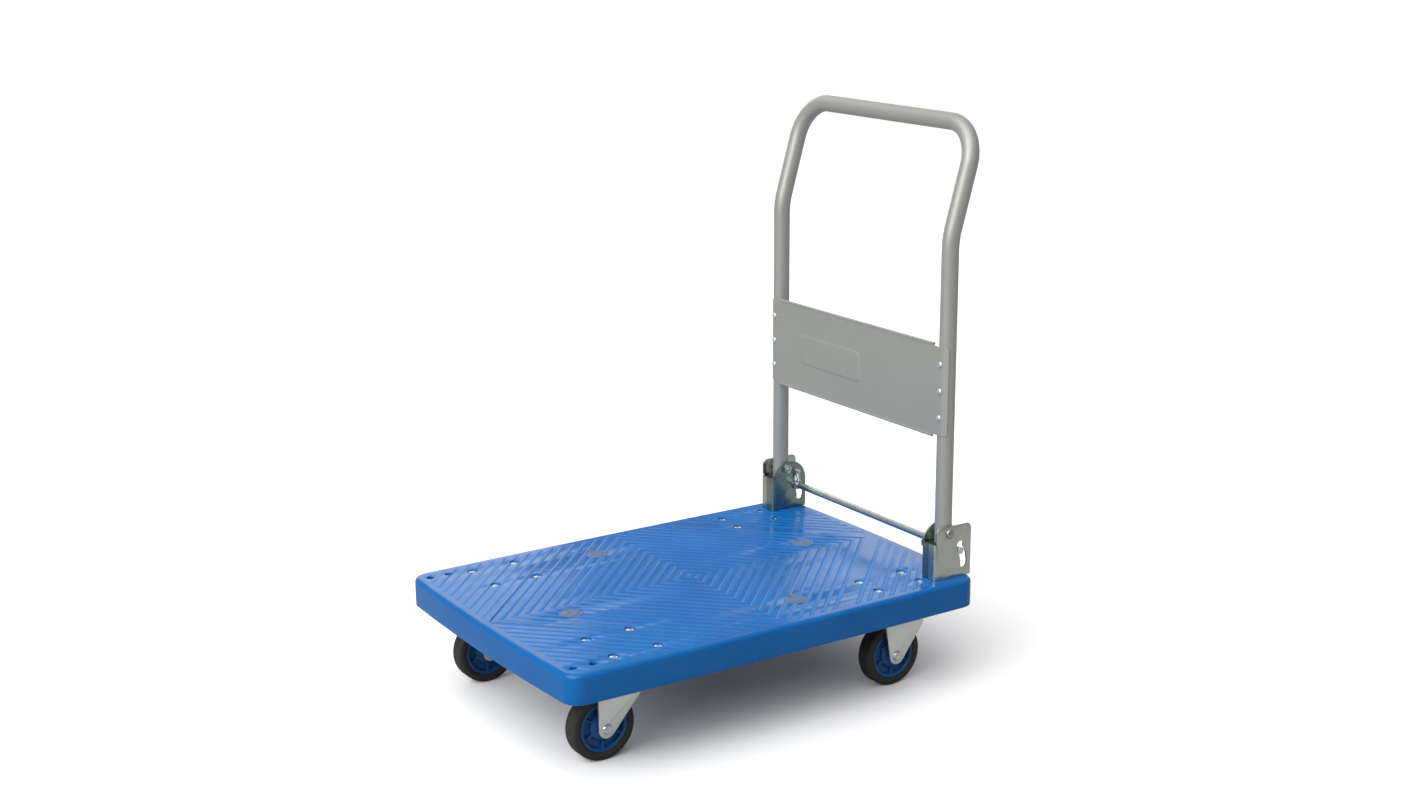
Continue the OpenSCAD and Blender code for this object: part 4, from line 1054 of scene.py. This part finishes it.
def casters():
    hub, tyre = hub_mesh(), tyre_mesh()
    length = 2 * FORK_Y + NUT_H + 1
    axle = lathe([(0, 2.2), (2.6, 2.3), (4.6, 2.9), (5.6, 3.0), (6.6, 2.5), (7.6, 1.3), (8.0, 0.35), (7.8, 0),
                  (BOLT_R, 0), (BOLT_R, 0.6 - length), (3.4, -length), (0, -length)], 48)
    axle_at = move(0, -FORK_Y, AXLE_Z) @ ALONG_NEG_Y
    nut, nut_at = hexagon(*NUT), move(0, FORK_Y, AXLE_Z) @ ALONG_Y
    race, race_faces = lathe([(16.5, 0), (16.5, 2.0), (17.2, 2.9), (19.2, 2.9), (20.0, 2.2), (24.0, 2.2),
                              (24.8, 2.9), (26.8, 2.9), (27.5, 2.0), (27.5, 0)], 64, closed=True)
    upper_race = [(x, y, -z) for x, y, z in race], [f[::-1] for f in race_faces]
    low = CROWN_Z - PLATE_T - NUT_H - 0.6
    pin = lathe([(0, 132.5), (8.6, 132.4), (9.4, 132.0), (11.8, 130.3), (11.9, 130.0), (KINGPIN_R, 130.0),
                 (KINGPIN_R, low + 0.8), (5.2, low), (0, low)], 48)
    king_hole = circle(0, 0, KINGPIN_R + 0.1, 32)
    spread = math.degrees(math.asin(FORK_Y / 36.0)) + 40
    crown = [(-13.5, -FORK_Y), *arc_points(TRAIL, 0, 36, -spread, spread, 40), (-13.5, FORK_Y)]
    crown = plate([crown, circle(TRAIL, 0, KINGPIN_R + 0.1, 32)], PLATE_T, 0.6)
    head = move(SWIVEL[0], -SWIVEL[1])
    swivel = move(SWIVEL[0] - TRAIL, -SWIVEL[1])
    fixed = move(FIXED[0], -FIXED[1])
    mount = move(0, 0, CASTER_H - PLATE_T)

    for side, far in (("near", False), ("far", True)):
        def piece(name, mat, body, slot, node, *shapes, angle=38):
            b = Build()
            for (verts, faces), matrix in shapes:
                b.add(verts, faces, matrix=matrix, mirror=far)
            b.make(name, mat, body, slot, [node], angle=angle)

        for kind, place in (("swivel", swivel), ("fixed", fixed)):
            wheel = place @ move(0, 0, AXLE_Z) @ ALONG_NEG_Y
            body = f"{kind}_wheel_{side}"
            piece(f"{kind}_hub_{side}_rim", NAVY, body, "hub_navy", f"{kind}_hub_{side}",
                  (hub, wheel), angle=36)
            piece(f"{kind}_tyre_{side}_ring", RUBBER, body, "tyre_black", f"{kind}_tyre_{side}",
                  (tyre, wheel), angle=50)
        fork = fork_mesh(False)
        piece(f"swivel_fork_{side}_pressed", FORKS, f"swivel_{side}", "zinc_sheet", f"swivel_fork_{side}",
              ((fork.verts, fork.faces), swivel), (crown, swivel @ move(0, 0, CROWN_Z - PLATE_T)),
              ((race, race_faces), swivel @ move(TRAIL, 0, CROWN_Z)))
        piece(f"swivel_plate_{side}_sheet", FORKS, "root", "zinc_sheet", f"swivel_plate_{side}",
              (mounting_plate(SWIVEL_HOLES, king_hole), head @ mount), (upper_race, head @ mount))
        piece(f"kingpin_{side}_turned", STEEL, "root", "bright_steel", f"kingpin_{side}", (pin, head))
        piece(f"swivel_axle_{side}_rivet", STEEL, f"swivel_{side}", "bright_steel", f"swivel_axle_{side}",
              (axle, swivel @ axle_at))
        piece(f"swivel_axle_nut_{side}_hex", STEEL, f"swivel_{side}", "bright_steel",
              f"swivel_axle_nut_{side}", (nut, swivel @ nut_at))
        fork = fork_mesh(True)
        piece(f"fixed_fork_{side}_pressed", FORKS, "root", "zinc_sheet", f"fixed_fork_{side}",
              ((fork.verts, fork.faces), fixed), (mounting_plate(FIXED_HOLES), fixed @ mount))
    b = Build().both(*axle, matrix=fixed @ axle_at)
    b.make("fixed_axle_rivets", STEEL, "root", "bright_steel", ["fixed_axles"])
    b = Build().both(*nut, matrix=fixed @ nut_at)
    b.make("fixed_axle_nut_set", STEEL, "root", "bright_steel", ["fixed_axle_nuts"])
    b = Build().both(*hexagon(22, NUT_H, 2 * KINGPIN_R + 0.1),
                     matrix=head @ move(0, 0, CROWN_Z - PLATE_T - 0.3) @ UPSIDE_DOWN)
    b.make("kingpin_nut_set", STEEL, "root", "bright_steel", ["kingpin_nuts"])


# ---------- scene ----------

def paint_cad_nodes():
    """Materials for the CAD nodes that stay in view."""
    for name, mat in (("stop_blocks", BLACK), ("swivel_balls_near", STEEL), ("swivel_balls_far", STEEL),
                      ("swivel_bush_near", STEEL), ("swivel_bush_far", STEEL), ("fixed_bushes", STEEL)):
        obj = NODES[name]
        if not obj.material_slots:
            obj.data.materials.append(mat)
        for held in obj.material_slots:
            held.link = "OBJECT"
            held.material = mat


def camera():
    """The photograph's camera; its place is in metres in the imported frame."""
    data = bpy.data.cameras.new("camera")
    data.sensor_width = 36
    data.lens = 50.4
    data.shift_x = -0.003
    data.shift_y = -0.0028
    data.clip_end = 50
    yaw, pitch, roll = math.radians(56.296), math.radians(-14.347), math.radians(-0.19)
    look = Vector((math.cos(pitch) * math.cos(yaw), math.cos(pitch) * math.sin(yaw), math.sin(pitch)))
    right = look.cross(Vector((0, 0, 1))).normalized()
    up = right.cross(look)
    right, up = (right * math.cos(roll) + up * math.sin(roll), up * math.cos(roll) - right * math.sin(roll))
    turn = Matrix((right, up, -look)).transposed()
    cam = new_object("camera", data)
    cam.matrix_world = Matrix.Translation((-1.5727, -2.4082, 1.1841)) @ turn.to_4x4()
    SCENE.camera = cam


def light(name, place, target, size, power):
    data = bpy.data.lights.new(name, "AREA")
    data.shape = "RECTANGLE"
    data.size, data.size_y = size
    data.energy = power
    obj = new_object(name, data)
    aim = (Vector(target) - Vector(place)).normalized()
    obj.matrix_world = Matrix.Translation(place) @ aim.to_track_quat("-Z", "Y").to_matrix().to_4x4()
    obj.visible_camera = False


def seen_first(tree, bounced, seen, into):
    """Gives rays from the camera one shader and every other ray another."""
    mix = tree.nodes.new("ShaderNodeMixShader")
    ray = tree.nodes.new("ShaderNodeLightPath")
    tree.links.new(ray.outputs["Is Camera Ray"], mix.inputs["Fac"])
    tree.links.new(bounced, mix.inputs[1])
    tree.links.new(seen, mix.inputs[2])
    tree.links.new(mix.outputs["Shader"], into)


def floor():
    """White to the camera, but it throws back only part of its light, as a small sheet of paper would."""
    mesh = bpy.data.meshes.new("floor")
    mesh.from_pydata([(-30, -30, 0), (30, -30, 0), (30, 30, 0), (-30, 30, 0)], [], [(0, 1, 2, 3)])
    obj = new_object("floor", mesh)
    paper = material("floor_paper", (1, 1, 1), roughness=0.9, specular=0.1)
    mesh.materials.append(paper)
    tree = paper.node_tree
    dim = tree.nodes.new("ShaderNodeBsdfDiffuse")
    dim.inputs["Color"].default_value = (0.42, 0.42, 0.42, 1)
    seen_first(tree, dim.outputs["BSDF"], tree.nodes["Principled BSDF"].outputs["BSDF"],
               tree.nodes["Material Output"].inputs["Surface"])


def studio():
    """A white room, brighter towards its ceiling, with a broad sun, two back lights and a window."""
    sky = bpy.data.worlds.new("studio")
    sky.use_nodes = True
    tree = sky.node_tree
    ambient = tree.nodes["Background"]
    ambient.inputs["Color"].default_value = (1, 1, 1, 1)
    direction = tree.nodes.new("ShaderNodeTexCoord")
    part = tree.nodes.new("ShaderNodeSeparateXYZ")
    rise = tree.nodes.new("ShaderNodeMapRange")
    rise.inputs["To Min"].default_value = 0.24
    rise.inputs["To Max"].default_value = 0.62
    tree.links.new(direction.outputs["Generated"], part.inputs["Vector"])
    tree.links.new(part.outputs["Z"], rise.inputs["Value"])
    tree.links.new(rise.outputs["Result"], ambient.inputs["Strength"])
    seen = tree.nodes.new("ShaderNodeBackground")
    seen.inputs["Color"].default_value = (1, 1, 1, 1)
    seen.inputs["Strength"].default_value = 1.2
    seen_first(tree, ambient.outputs["Background"], seen.outputs["Background"],
               tree.nodes["World Output"].inputs["Surface"])
    SCENE.world = sky
    data = bpy.data.lights.new("ceiling", "SUN")
    data.energy = 2.2
    data.angle = math.radians(75)
    new_object("ceiling", data).rotation_euler = Vector((-0.75, -0.18, 1)).to_track_quat("Z", "Y").to_euler()
    light("backdrop_left", (0.85, 3.62, 1.65), (-0.3, 0, 0.2), (1.6, 2.6), 17)
    light("backdrop_right", (2.89, 2.32, 1.65), (0.3, 0, 0.2), (1.6, 2.6), 15)
    light("window", (-2.6, -0.7, 1.9), (0, 0, 0.3), (2.2, 2.0), 38)
    SCENE.view_settings.view_transform = "Standard"
    SCENE.view_settings.look = "None"


deck()
tread()
deck_caps()
brackets()
pivot_parts()
handle()
panel()
lock_rod()
springs()
caster_fasteners()
casters()
paint_cad_nodes()
camera()
floor()
studio()

bpy.context.view_layer.update()
